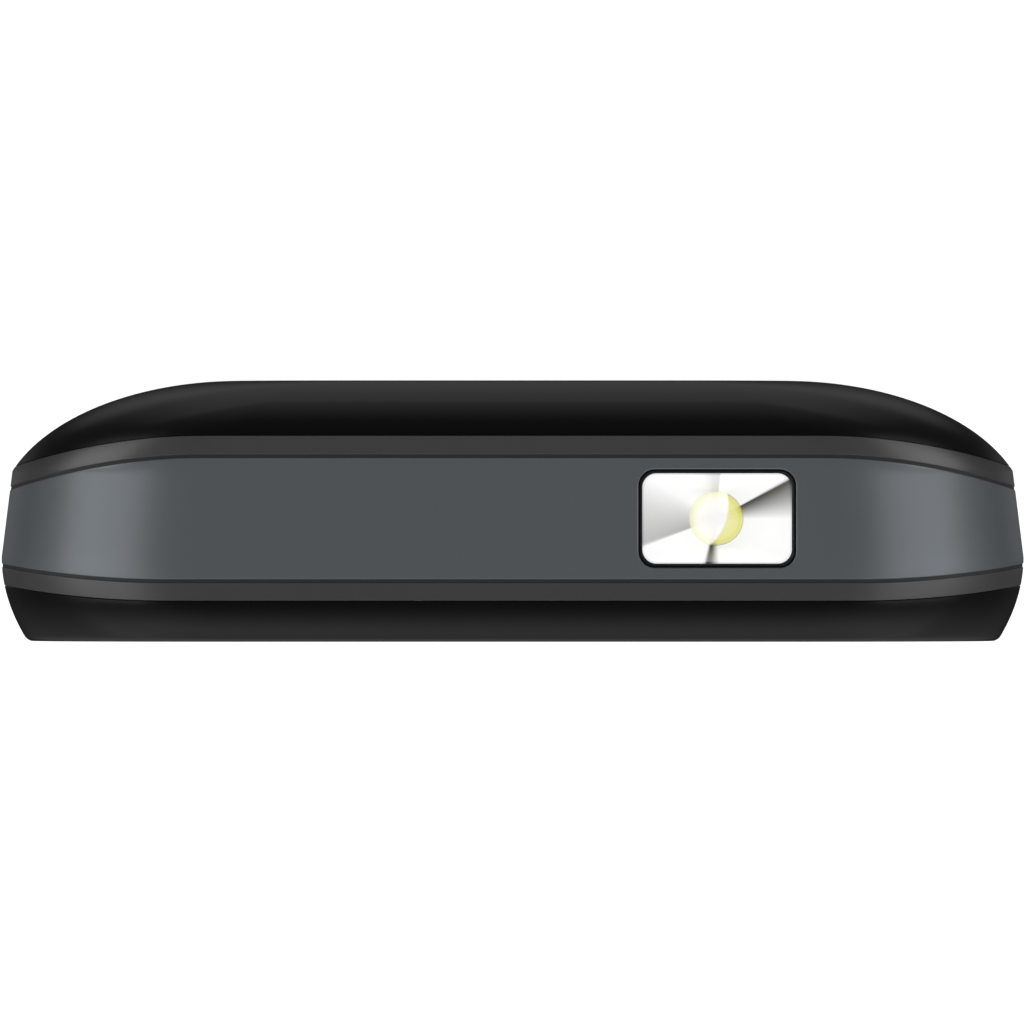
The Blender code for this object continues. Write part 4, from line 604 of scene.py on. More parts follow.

# %% [markdown]
# ## Finishes
#
# A moulded, painted or plated surface is never one flat colour: it has a fine grain, places
# that are a little smoother than others, and faint variation of tone. That could be drawn anew
# in every material. It is one node group instead, with the grain's scale, tone and smudge as
# inputs, and each material sets its own values and the depth of its bump. Patterns read Object
# coordinates, so they stay on the part when it moves.

# %% The shared surface group


def surface_group():
    """Colour x (1 + tone x cloud), roughness + smudge x cloud, and a grain height."""
    group = bpy.data.node_groups.new("moulded_surface", "ShaderNodeTree")
    for name, kind, value in (("Colour", "Color", (0.5, 0.5, 0.5, 1)), ("Roughness", "Float", 0.4),
                              ("Grain Scale", "Float", 9000.0), ("Tone", "Float", 0.06),
                              ("Smudge", "Float", 0.05)):
        socket = group.interface.new_socket(name, in_out="INPUT", socket_type="NodeSocket" + kind)
        socket.default_value = value
    for name, kind in (("Colour", "Color"), ("Roughness", "Float"), ("Height", "Float")):
        group.interface.new_socket(name, in_out="OUTPUT", socket_type="NodeSocket" + kind)
    nodes, links = group.nodes, group.links
    given, out = nodes.new("NodeGroupInput").outputs, nodes.new("NodeGroupOutput").inputs
    place = nodes.new("ShaderNodeTexCoord").outputs["Object"]
    grain, cloud = nodes.new("ShaderNodeTexNoise"), nodes.new("ShaderNodeTexNoise")
    set_inputs(grain, {"Detail": 2})
    set_inputs(cloud, {"Scale": 160, "Detail": 4})
    links.new(place, grain.inputs["Vector"])
    links.new(place, cloud.inputs["Vector"])
    links.new(given["Grain Scale"], grain.inputs["Scale"])
    swing = math(group, "SUBTRACT", cloud.outputs["Fac"], 0.5)
    tone = math(group, "MULTIPLY_ADD", swing, given["Tone"], 1)
    rough = math(group, "MULTIPLY_ADD", swing, given["Smudge"], given["Roughness"])
    tint = nodes.new("ShaderNodeVectorMath")
    tint.operation = "SCALE"
    links.new(given["Colour"], tint.inputs[0])
    links.new(tone, tint.inputs["Scale"])
    links.new(tint.outputs[0], out["Colour"])
    links.new(rough, out["Roughness"])
    links.new(grain.outputs["Fac"], out["Height"])
    return group


SURFACE = surface_group()


def finish(name, colour, roughness, metallic=0.0, specular=0.5, grain=9000.0, depth=0.0,
           tone=0.06, smudge=0.05, coat=0.0, coat_roughness=0.05):
    """A material whose colour, roughness and bump come from the surface group."""
    look = bpy.data.materials.new(name)
    look.use_nodes = True
    shader, links = shader_of(look), look.node_tree.links
    set_inputs(shader, {"Metallic": metallic, "Specular IOR Level": specular,
                        "Coat Weight": coat, "Coat Roughness": coat_roughness})
    surface = look.node_tree.nodes.new("ShaderNodeGroup")
    surface.node_tree = SURFACE
    set_inputs(surface, {"Colour": (*colour, 1), "Roughness": roughness, "Grain Scale": grain,
                         "Tone": tone, "Smudge": smudge})
    links.new(surface.outputs["Colour"], shader.inputs["Base Color"])
    links.new(surface.outputs["Roughness"], shader.inputs["Roughness"])
    if depth:
        feed(look, height=surface.outputs["Height"], depth=depth)
    look.diffuse_color = (*colour, 1)
    return look


print("inputs of the surface group:", [item.name for item in SURFACE.interface.items_tree][:5])

# %% [markdown]
# ## The shell's finishes
#
# The slate frame is satin paint with a little metal in it, the two trims beside it are a darker
# neutral satin, and the front and the cover are black with a faint gloss. The metal in the paint
# makes the round corners light up, so half of the colour comes from a metallic value.

# %% Shell finishes
SLATE = finish("slate_paint_finish", (0.167, 0.183, 0.197), 0.36, metallic=0.5, specular=0.3,
               grain=14000, depth=0.002 * MM, tone=0.05, smudge=0.04)
TRIM = finish("trim_satin", (0.097, 0.097, 0.0975), 0.36, metallic=0.5, specular=0.3,
              grain=12000, depth=0.002 * MM, tone=0.05, smudge=0.04)
BLACK = finish("satin_black", (0.0014, 0.0014, 0.0015), 0.24, specular=0.35, grain=5000,
               depth=0.0004 * MM, tone=0.1, smudge=0.05)
PLASTIC = finish("chassis_plastic", (0.018, 0.018, 0.019), 0.5, grain=6000, depth=0.012 * MM,
                 tone=0.12, smudge=0.1)
RUBBER = finish("black_rubber", (0.004, 0.004, 0.0045), 0.6, specular=0.15, grain=9000,
                depth=0.004 * MM)
KEY_BLACK = finish("key_black", (0.010, 0.010, 0.011), 0.26, grain=7000, depth=0.001 * MM,
                   tone=0.1)
STEEL = finish("stamped_steel", (0.60, 0.60, 0.59), 0.28, metallic=0.85, grain=5000,
               depth=0.003 * MM, tone=0.08, smudge=0.12)
GOLD = finish("contact_gold", (0.84, 0.60, 0.24), 0.25, metallic=0.7, grain=7000,
              depth=0.001 * MM, tone=0.08)
print("slate:", SLATE.name, "trim:", TRIM.name)

# %% [markdown]
# ## The rings round the phone
#
# The slate frame and its two trims are rings that lie on each other. Seen end on, the joints
# between slate and trim are thin dark lines, because each edge is rounded and a small gap stays
# open, and a dark grey strip at the bottom of each gap adds painted shade. The ring's
# cross-section is walked once: over the lower edge, up the skin, over the upper edge and back
# along the inner wall.

# %% Rings of the shell


def wear(piece, look, body="body", stands_for=()):
    """Gives a piece its material, its body and the nodes that it replaces."""
    piece.data.materials.clear()
    piece.data.materials.append(look)
    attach(piece, body)
    if stands_for:
        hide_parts(*stands_for)


def inner_wall(seam):
    """Points of the straight inner wall on a split line."""
    x, z = rounded(HALF_WIDTH - RING_WALL, HALF_LENGTH - RING_WALL, CORNER - RING_WALL,
                   (0, HALF_LENGTH), SHELL)
    return on_face(x, z, seam(x))


def shell_ring(name, low_seam, high_seam, low_edge, high_edge, rows=16):
    """A quarter circle over the lower edge, even steps up the skin with a short one beside each
    edge, which keeps the edge's shading off the skin, and a quarter circle over the upper one."""
    start, end = meet(low_seam), meet(high_seam)
    low_rows = [skin(start + drop, inset) for inset, drop in round_over(low_edge, 6)]
    high_rows = [skin(end - drop, inset) for inset, drop in round_over(high_edge, 6)[::-1]]
    shares = np.concatenate([[0.01], np.linspace(0, 1, rows + 1)[1:-1], [0.99]])
    near, far = start + low_edge, end - high_edge
    middle = [skin(near + (far - near) * share) for share in shares]
    rings = [inner_wall(low_seam), *low_rows, *middle, *high_rows, inner_wall(high_seam)]
    return solid(name, rings, closed=True, sharp_from=SOFT)


LINE_GAP, LINE_EDGE, LINE_DROP = mm(0.17, 0.03, 0.04)
TIGHT_GAP, TIGHT_EDGE = mm(0.02, 0.03)


def lowered(seam, by):
    """The same split line, a little further back."""
    return lambda x: seam(x) + by


FRONT_LINE, REAR_LINE = front_seam(FRAME_FRONT), rear_seam(FRAME_BACK)
front_ring = shell_ring("front_ring", lowered(front_seam(FRONT_SPLIT), TIGHT_GAP / 2),
                        lowered(FRONT_LINE, -LINE_GAP / 2), TIGHT_EDGE, LINE_EDGE)
slate_ring = shell_ring("slate_ring", lowered(FRONT_LINE, LINE_GAP / 2),
                        lowered(REAR_LINE, -LINE_GAP / 2), LINE_EDGE, LINE_EDGE, 24)
rear_ring = shell_ring("rear_ring", lowered(REAR_LINE, LINE_GAP / 2),
                       lowered(rear_seam(COVER_SPLIT), -TIGHT_GAP / 2), LINE_EDGE, TIGHT_EDGE)
# Painted shade: the dark grey at the bottom of each split line stands for the shade in the gap.
SEAM_SHADE = finish("seam_shade_grey", (0.033, 0.033, 0.035), 0.5, specular=0.2, grain=9000)


def seam_shade_strip(seam, half):
    """The bottom of a split line: a thin ring, set back a little under the skin, whose dark grey
    is painted shade of the gap.
    """
    near, far = lowered(seam, -half), lowered(seam, half)
    rings = [inner_wall(near), skin(meet(near), LINE_DROP), skin(meet(far), LINE_DROP),
             inner_wall(far)]
    return solid("seam_shade_strip", rings, closed=True, sharp_from=SOFT)


seam_shade_strips = joined("seam_shade_strips", [seam_shade_strip(seam, LINE_GAP / 2)
                                     for seam in (FRONT_LINE, REAR_LINE)], SOFT)
wear(seam_shade_strips, SEAM_SHADE)
print("faces of the slate ring:", len(slate_ring.data.polygons))

# %% [markdown]
# ## Openings in the slate frame
#
# The torch looks out of the top end; the charging plug, the audio plug and the microphone use
# the bottom end. Each opening has a lip that catches the light, so each cutter flares where it
# meets the skin. Booleans on the finished ring are simpler here than a ring with holes in its
# grid.

# %% Cut the frame
TORCH_AT = mm(9.94, 5.995)
TORCH_HALF = mm(3.83, 2.39)
TORCH_CORNER = 0.8 * MM
USB_AT, USB_HALF, USB_CORNER = (0.0, 6.6 * MM), mm(3.7, 1.2), 0.9 * MM
JACK_AT, JACK_RADIUS = mm(-7.8, 6.9), 2.08 * MM
MICROPHONE_AT, MICROPHONE_RADIUS = mm(8.0, 5.9), 0.5 * MM


def end_cutter(half, corner, centre, lip, at_top=False):
    """A prism through an end wall, wider by the lip where it meets the skin."""
    return end_block("cutter", half, corner, centre,
                     [(inset, LENGTH - way if at_top else way)
                      for inset, way in flared(lip, RING_WALL + MM)])


cutters = [end_cutter(TORCH_HALF, TORCH_CORNER, TORCH_AT, 0.05 * MM, at_top=True),
           end_cutter(USB_HALF, USB_CORNER, USB_AT, 0.25 * MM),
           end_cutter((JACK_RADIUS,) * 2, JACK_RADIUS, JACK_AT, 0.3 * MM),
           end_cutter((MICROPHONE_RADIUS,) * 2, MICROPHONE_RADIUS, MICROPHONE_AT, 0.15 * MM)]
carve(slate_ring, cutters, CRISP)
wear(front_ring, TRIM, stands_for=["front_trim"])
wear(slate_ring, SLATE, stands_for=["mid_frame"])
wear(rear_ring, TRIM, stands_for=["rear_trim"])
print("faces after cutting:", len(slate_ring.data.polygons))

# %% [markdown]
# ## The front housing
#
# The front is one black plate with a rim. Its skin is walked from the flat face over the round
# edge and down the flared flank to the split line, then back up the inner wall. The display
# seat, the sound slot and a hole for each key are cut afterwards with small lips.

# %% Front housing
KEY_GAP, LIP = mm(0.18, 0.12)
NUMBER_KEY, SIDE_KEY = mm(12.8, 6.2), mm(11.4, 5.6)
SELECT_KEY, NAV_RING = mm(6.4, 5.4), mm(15.6, 13.2)
KEY_CORNER, NAV_CORNER, NAV_Z = mm(1.0, 3.0, 44.8)
NUMBER_ROWS = [["star", "0", "hash"], ["7", "8", "9"], ["4", "5", "6"], ["1", "2", "3"]]
KEYS = {name: ((column - 1) * 14.0 * MM, (9.8 + 7.6 * row) * MM, *NUMBER_KEY)
        for row, names in enumerate(NUMBER_ROWS) for column, name in enumerate(names)}
KEYS.update({"call": (-15.0 * MM, 41.0 * MM, *SIDE_KEY), "end": (15.0 * MM, 41.0 * MM, *SIDE_KEY),
             "soft_left": (-15.0 * MM, 48.6 * MM, *SIDE_KEY),
             "soft_right": (15.0 * MM, 48.6 * MM, *SIDE_KEY)})
WINDOW_AT, WINDOW_HALF, WINDOW_CORNER = (0, 83.0 * MM), mm(20.8, 26.3), 3.0 * MM
SCREEN_HALF, SEAT_GAP, SEAT_DEPTH = mm(17.5, 23.25), 0.072 * MM, 1.15 * MM
SOUND_AT, SOUND_HALF = (0, 111.5 * MM), mm(4.0, 0.6)
FACE_MARGIN, THROUGH_FRONT = 0.3 * MM, FRONT_WALL + MM


def front_cutter(half, corner, centre, lip):
    """A prism through the front wall, wider by the lip where it meets the face."""
    return block("cutter", half, corner, centre, flared(lip, THROUGH_FRONT))


seam = lowered(front_seam(FRONT_SPLIT), -TIGHT_GAP / 2)
end = meet(seam)
ceiling = inner_wall(seam)
ceiling[:, 1] = FRONT_WALL - HALF_DEPTH
rings = [skin(0.0, FACE_MARGIN)] + [skin(drop) for _, drop in round_over(FRONT_EDGE, 8)]
rings += [skin(FRONT_EDGE + (end - TIGHT_EDGE - FRONT_EDGE) * share)
          for share in np.linspace(0, 1, 20)[1:]]
rings += [skin(end, TIGHT_EDGE), inner_wall(seam), ceiling]
front_plate = solid("front_plate", rings, sharp_from=SOFT)

seat = [(-LIP - SEAT_GAP, -MM), (-LIP - SEAT_GAP, 0), (-SEAT_GAP, LIP), (-SEAT_GAP, SEAT_DEPTH)]
seat_rings = drawn_in(front_ring_at, WINDOW_HALF, WINDOW_CORNER, WINDOW_AT, seat, SMALL)
seat_rings += drawn_in(front_ring_at, SCREEN_HALF, 0.6 * MM, WINDOW_AT,
                       [(0, SEAT_DEPTH), (0, THROUGH_FRONT)], SMALL)
cutters = [solid("cutter", seat_rings), front_cutter(SOUND_HALF, SOUND_HALF[1], SOUND_AT, 0.2 * MM)]
holes = [(key, KEY_CORNER) for key in KEYS.values()] + [((0, NAV_Z, *NAV_RING), NAV_CORNER)]
for (x, z, width, height), corner in holes:
    cutters.append(front_cutter((width / 2 + KEY_GAP, height / 2 + KEY_GAP), corner + KEY_GAP,
                                (x, z), LIP))
carve(front_plate, cutters, CRISP)
wear(front_plate, BLACK, stands_for=["front_housing"])
print("faces of the front plate:", len(front_plate.data.polygons))

# %% [markdown]
# ## The battery cover
#
# The back is one domed lid. Outside it follows the same skin as the CAD cover, with more rows
# where the dome bends most; inside it follows a skin that is one wall thinner. It opens for the
# camera, for four sound slots and for a fingernail at the bottom end.

# %% Battery cover
CAMERA_AT, SPEAKER_AT = (0, 102.0 * MM), mm(-10.5, 104.8)
CAMERA_RADIUS, SIGHT_RADIUS, RECESS = mm(3.2, 2.2, 0.9)
THROUGH_BACK, SIDE_WALL = 2.2 * MM, 0.35 * COVER_WALL
SLOT_HALF, SLOT_PITCH, SLOT_LIP = mm(3.0, 0.4), 1.8 * MM, 0.18 * MM
CLIP_OUT, CLIP_THICK = HALF_WIDTH - RING_WALL - 0.3 * MM, 0.6 * MM


def eased(start, end, share):
    """start + (end - start) x (1 - (1 - share) squared), so that rows crowd at the end."""
    return start + (end - start) * (1 - (1 - share) ** 2)


seam = lowered(rear_seam(COVER_SPLIT), TIGHT_GAP / 2)
start, start_inside = meet(seam), meet(seam, COVER_WALL)
rings = [skin(eased(start, DEPTH, share)) for share in np.linspace(0, 1, 34)[::-1]]
rings.append(skin(start, TIGHT_EDGE))
rings += [skin(eased(start_inside, DEPTH - COVER_WALL, share) + COVER_WALL, SIDE_WALL)
          - (0, COVER_WALL, 0) for share in np.linspace(0, 1, 14)]
cover = solid("domed_cover", rings, sharp_from=SOFT)

cutters = [turned("cutter", CAMERA_AT,
                  [(SIGHT_RADIUS, DEPTH - THROUGH_BACK), (SIGHT_RADIUS, DEPTH - RECESS),
                   (CAMERA_RADIUS, DEPTH - RECESS), (CAMERA_RADIUS, DEPTH - 0.15 * MM),
                   (CAMERA_RADIUS + 0.15 * MM, DEPTH), (CAMERA_RADIUS + 0.15 * MM, DEPTH + MM)])]
slot = [(inset, DEPTH - way) for inset, way in flared(SLOT_LIP, THROUGH_BACK)[::-1]]
for row in range(4):
    centre = (SPEAKER_AT[0], SPEAKER_AT[1] + (row - 1.5) * SLOT_PITCH)
    cutters.append(block("cutter", SLOT_HALF, SLOT_HALF[1], centre, slot))
cutters.append(end_block("cutter", mm(4.0, 0.7), 0.7 * MM, (0, COVER_SPLIT),
                         in_mm([(0, -1), (0, 0), (0.15, 0.5), (0.4, 0.7)])))
carve(cover, cutters, CRISP)
clips = []
for x, z in ((side * (CLIP_OUT - CLIP_THICK / 2), z) for side in (-1, 1) for z in mm(30, 80)):
    tip = in_mm([(0.2, -1.2), (0, -1.0)], CREASE)
    tip.append((0, float(seam(CLIP_OUT - CLIP_THICK)) + 0.4 * MM))
    clips.append(block("clip", (CLIP_THICK / 2, 2.0 * MM), 0.15 * MM, (x, z), tip))
cover_clips = joined("cover_clips", clips)
wear(cover_clips, PLASTIC, body="battery_cover")
wear(cover, BLACK, body="battery_cover", stands_for=["battery_cover"])
print("faces of the cover:", len(cover.data.polygons))

# %% [markdown]
# ## The torch
#
# Behind the opening in the slate frame, a clear window sits in a thin black lip. Under it is a
# white plated bowl that narrows down to a small LED. In the photograph the bowl is white with
# grey wedges round the LED, where its sides mirror the dark room. A mirror would show whatever
# stands round the phone; here the wedges are painted reflections, tones that follow the angle
# round the LED. The bowl and the LED also have a painted glow of their own, and the LED carries
# painted shade.

# %% Torch finishes
LED_AT = Vector((TORCH_AT[0] + 0.035 * MM, TORCH_AT[1] - HALF_DEPTH - 0.01 * MM, 0))
LED_RADIUS = 1.3 * MM
LED_SHADE_AT, LED_SHADE_REACH = (-1.744, 0.571), 2.161
# Painted reflection: grey wedges, as (degrees round the LED, tone), where the sides would mirror
# the room.
PAINTED_REFLECTION_WEDGES = [(-180, 0.60), (-163, 0.46), (-160.8, 0.50), (-159.3, 1), (-110, 1), (-107, 0.75),
          (-104.5, 0.08), (-101, 0.04), (-98, 0.15), (-93, 0.55), (-89, 0.88), (-86, 1), (0, 1),
          (4, 0.80), (9, 0.60), (15, 0.36), (19, 0.24), (23, 0.13), (26.5, 0.05), (28.4, 0.05),
          (30, 1), (85.5, 1), (87.5, 0.66), (96, 0.70), (106, 0.84), (123, 0.95), (140, 1),
          (150, 0.97), (158, 0.84), (169, 0.70), (180, 0.60)]
# Painted glow: the white parts of the torch glow with their own tones, besides being painted.
TORCH_PAINT, TORCH_PAINTED_GLOW = (0.25, 0.25, 0.26), (0.88, 0.88, 0.89)


def paint_glow(look, tones):
    """Painted light: the tones of a white part in the torch, as paint and again as a painted glow
    of its own.
    """
    tree = look.node_tree
    feed(look, colour=mixed(tree, 1, tones, TORCH_PAINT, "MULTIPLY"),
         glow=mixed(tree, 1, tones, TORCH_PAINTED_GLOW, "MULTIPLY"))


# The bowl's white and its grey wedges are painted reflection, shown as paint and as a painted glow.
BOWL = finish("plated_bowl_painted_reflection", (0.9, 0.9, 0.9), 0.35, specular=0.1, grain=9000)
tree = BOWL.node_tree
x, y, z = place_in(tree, LED_AT)
angle = math(tree, "MULTIPLY_ADD", math(tree, "ARCTAN2", y, x), 0.5 / pi, 0.5)
paint_glow(BOWL, colour_ramp(tree, angle, [(degrees / 360 + 0.5, tone) for degrees, tone in PAINTED_REFLECTION_WEDGES]))

LAMP = finish("led_dome_painted_glow", (0.9, 0.9, 0.8), 0.25, coat=0.3, grain=6000)
tree = LAMP.node_tree
x, y, z = place_in(tree, LED_AT)
reach = math(tree, "DIVIDE", radius_of(tree, x, y), LED_RADIUS)
away = [math(tree, "SUBTRACT", math(tree, "DIVIDE", axis, LED_RADIUS), middle)
        for axis, middle in zip((x, y), LED_SHADE_AT)]
# Painted shade: a crescent on the LED's right, outside a circle set off to the left.
shade = math(tree, "SUBTRACT", radius_of(tree, *away), LED_SHADE_REACH - 0.5)
# The LED's yellow edge is its own; the crescent's darker tones and the dark rim are painted shade.
core = colour_ramp(tree, reach, [(0.0, (1.0, 0.98, 0.95)), (0.72, (1.0, 0.98, 0.90)),
                                 (0.90, (0.93, 0.93, 0.68)), (1.0, (0.74, 0.75, 0.44))])
rim = colour_ramp(tree, reach, [(0.3, (0.86, 0.84, 0.46)), (0.75, (0.78, 0.76, 0.24)),
                                (0.92, (0.62, 0.60, 0.09)), (1.0, (0.20, 0.20, 0.03))])
shaded_crescent = colour_ramp(tree, shade, [(0.47, 0.0), (0.53, 1.0)])
paint_glow(LAMP, mixed(tree, shaded_crescent, core, rim))

CLEAR = finish("clear_plastic", (0.4, 0.4, 0.4), 0.03, grain=3000, smudge=0.02)
set_inputs(shader_of(CLEAR), {"Alpha": 0.06})
print("wedges:", len(PAINTED_REFLECTION_WEDGES), "stops")

# %% [markdown]
# The bowl changes from a rounded rectangle at its mouth to a circle at its seat. Such a loft
# could be made with a bevelled curve; here each ring is a rounded rectangle whose half sizes and
# corner all run towards the seat's radius, steeply at first, as a parabola does.

# %% Torch pieces
BOWL_TOP, BOWL_SEAT, SEAT_RADIUS, BOWL_WALL = mm(114.8, 110.0, 1.32, 0.15)
BOWL_MOUTH = (*(half - 0.14 * MM - BOWL_WALL for half in TORCH_HALF), 0.6 * MM)
PLATING, PLATING_GAP = 0.6 * BOWL_WALL, 0.01 * MM
LED_FOOT, PANE_TOP = 110.3 * MM, LENGTH - 0.05 * MM


def bowl_ring(share, wall, height):
    """The mouth's half sizes x share + the seat's radius x (1 - share), plus a wall."""
    sizes = [mouth * share + SEAT_RADIUS * (1 - share) + wall for mouth in BOWL_MOUTH]
    return end_ring_at(*sizes, TORCH_AT, height)


steps = np.linspace(0, 1, 15)
heights = BOWL_SEAT + (BOWL_TOP - BOWL_SEAT) * steps ** 1.5
walls = [[bowl_ring(share, wall, height) for share, height in zip(steps, heights)]
         for wall in (0, PLATING, PLATING + PLATING_GAP, BOWL_WALL)]
torch_bowl = solid("torch_bowl", walls[0] + walls[1][::-1], closed=True, sharp_from=SOFTEST)
wear(torch_bowl, BOWL, stands_for=["torch_reflector"])
torch_shell = solid("torch_shell", walls[2] + walls[3][::-1], closed=True, sharp_from=SOFTEST)
wear(torch_shell, PLASTIC)

led = in_mm([(1.5, 109.0), (1.5, 109.9), (1.3, 110.0)])
led += [(LED_RADIUS * np.cos(t), LED_FOOT + LED_RADIUS * np.sin(t))
        for t in np.linspace(0, pi / 2, 12)[:-1]]
torch_lamp = solid("torch_lamp", [end_ring_at(r, r, r, TORCH_AT, height) for r, height in led],
                   sharp_from=SOFTEST)
wear(torch_lamp, LAMP, stands_for=["torch_led"])

pane = in_mm([(0.14, -0.9), (0.14, -0.03), (0.15, -0.01), (0.17, 0)], PANE_TOP)
torch_pane = end_block("torch_pane", TORCH_HALF, TORCH_CORNER, TORCH_AT, pane, FINE)
wear(torch_pane, CLEAR, stands_for=["torch_window"])

lip = in_mm([(-0.9, 112.8), (-0.9, 113.9), (0.02, 113.9)])
lip += in_mm([(0.02, -0.03), (0.05, 0), (0.10, 0), (0.125, -0.03)], PANE_TOP)
lip += in_mm([(0.125, 112.8)])
torch_lip = end_block("torch_lip", TORCH_HALF, TORCH_CORNER, TORCH_AT, lip, FINE, closed=True)
wear(torch_lip, RUBBER, stands_for=["torch_gasket"])
print("torch:", [len(piece.data.polygons) for piece in (torch_bowl, torch_lamp, torch_pane)])

# %% [markdown]
# ## The keys
#
# Each key is one moulding: a low crowned cap, a wide flange under the front plate that holds it
# in, and a stem that stands on the snap dome. They could share one mesh, but the caps differ in
# size, so one function makes them all. The digits are printed proud of the cap; a key's legend
# is a thin mesh of its own that travels with it.

# %% Key caps
FLANGE, FLANGE_FRONT, FLANGE_BACK, STEM_END = mm(0.4, 1.8, 2.25, 3.35)
CAP_EDGE, CAP_RIM, CAP_CROWN = mm(0.35, 0.22, 0.04)
STEM, CROWN_ROWS = 1.1 * MM, 12
PRINT_FRONT, PRINT_BACK = mm(0.03, 0.3)


def crown_rings(half_x, half_z, corner, centre):
    """Rings that shrink to a line; with u and v as shares of the half sizes, the depth is
    rim - (rim - crown) x (1 - u squared) x (1 - v squared)."""
    rise = CAP_RIM - CAP_CROWN
    room = min(half_x, half_z)
    rings = []
    for share in np.linspace(0, 0.97, CROWN_ROWS)[1:]:
        inset = room * share
        ring = front_ring_at(half_x - inset, half_z - inset, corner - inset, centre, CAP_RIM)
        u, v = (ring[:, 0] - centre[0]) / half_x, (ring[:, 2] - centre[1]) / half_z
        ring[:, 1] -= rise * (1 - u ** 2) * (1 - v ** 2)
        rings.append(ring)
    return rings


def key_cap(name, centre, width, height, corner):
    """From the back: the stem, the flange, the cap's side, its round edge and its crown."""
    half_x, half_z = width / 2, height / 2
    rings = [front_ring_at(STEM, STEM, STEM, centre, depth) for depth in (STEM_END, FLANGE_BACK)]
    rings += [front_ring_at(half_x + wider, half_z + wider, corner, centre, depth) for wider, depth
              in ((FLANGE, FLANGE_BACK), (FLANGE, FLANGE_FRONT), (0, FLANGE_FRONT))]
    edge = [(inset, CAP_RIM + drop) for inset, drop in round_over(CAP_EDGE)[::-1]]
    rings += drawn_in(front_ring_at, (half_x, half_z), corner, centre, edge, FINE)
    rings += crown_rings(half_x - CAP_EDGE, half_z - CAP_EDGE, corner - CAP_EDGE, centre)
    return solid(name, rings, sharp_from=SOFT)


def lettering(words, size, centre, front=PRINT_FRONT, heavy=0.0):
    """Text as a mesh, upright on the front face, its middle on a centre."""
    curve = bpy.data.curves.new("mark", "FONT")
    curve.body, curve.size, curve.align_x, curve.align_y = words, size, "CENTER", "CENTER"
    curve.offset, curve.resolution_u = heavy, 4
    curve.extrude = (PRINT_BACK - front) / 2
    text = bpy.data.objects.new("mark", curve)
    graph = bpy.context.evaluated_depsgraph_get()
    bpy.context.scene.collection.objects.link(text)
    graph.update()
    mesh = bpy.data.meshes.new_from_object(text.evaluated_get(graph))
    bpy.data.objects.remove(text)
    bpy.data.curves.remove(curve)
    middle = Matrix.Translation((centre[0], (front + PRINT_BACK) / 2 - HALF_DEPTH, centre[1]))
    mesh.transform(middle @ Matrix.Rotation(pi / 2, 4, "X"))
    mesh.materials.clear()
    return put_in_scene(mesh)


def plate(x, z, front=PRINT_FRONT, back=PRINT_BACK):
    """A thin prism whose outline is given by x and z arrays, in order round it."""
    return solid("mark", [on_face(x, z, depth) for depth in (front, back)])


KEY_NODES = {name: f"key_{name}" for names in NUMBER_ROWS for name in names}
KEY_NODES.update({"call": "call_key", "end": "end_key", "soft_left": "soft_key_left",
                  "soft_right": "soft_key_right"})
for name, (x, z, width, height) in KEYS.items():
    cap = key_cap(f"cap_{name}", (x, z), width, height, KEY_CORNER)
    wear(cap, KEY_BLACK, body=KEY_NODES[name], stands_for=[KEY_NODES[name]])
print(len(KEYS), "key caps of", len(cap.data.polygons), "faces")

# %% [markdown]
# The digits are large and light grey; the letters beside them are small. The call keys carry a
# handset in green and in red, and the two soft keys a short bar. The handset is an arc with two
# broad ends, drawn as one outline: out along the arc and back along a second one.

# %% Legends
PRINT = finish("light_print", (0.62, 0.64, 0.66), 0.45, grain=12000, tone=0.08)
GREEN = finish("green_print", (0.03, 0.42, 0.08), 0.45, grain=12000, tone=0.08)
RED = finish("red_print", (0.55, 0.02, 0.02), 0.45, grain=12000, tone=0.08)
LETTERS = {"2": "abc", "3": "def", "4": "ghi", "5": "jkl", "6": "mno", "7": "pqrs", "8": "tuv",
           "9": "wxyz"}
SIGNS = {"star": ("*", 6.4 * MM, 1.3 * MM), "hash": ("#", 3.8 * MM, 0.0)}
HANDSETS = {"call": (0.6, GREEN), "end": (0.0, RED)}
HANDSET_RADIUS, HANDSET_HALF_ANGLE = 2.35 * MM, 1.02
DIGIT_SIZE, DIGIT_LEFT, DIGIT_WEIGHT = mm(4.3, 2.4, 0.05)
LETTER_SIZE, LETTERS_RIGHT, LETTERS_DOWN = mm(2.2, 1.9, 0.3)


def handset(centre, turn):
    """An arc of a circle: the outer radius is even, and the inner one is smaller by a thickness
    that grows from the grip to the two ends."""
    t = np.linspace(-1, 1, 61)
    thick = (0.62 + 0.72 / (1 + np.exp(-(np.abs(t) - 0.60) * 30))) * MM
    angle = pi / 2 - t * HANDSET_HALF_ANGLE
    reach = np.concatenate([0 * t + HANDSET_RADIUS, (HANDSET_RADIUS - thick)[::-1]])
    angle = np.concatenate([angle, angle[::-1]])
    x, z = reach * np.cos(angle), reach * np.sin(angle) - 0.66 * HANDSET_RADIUS
    cosine, sine = np.cos(turn), np.sin(turn)
    return x * cosine - z * sine + centre[0], x * sine + z * cosine + centre[1]


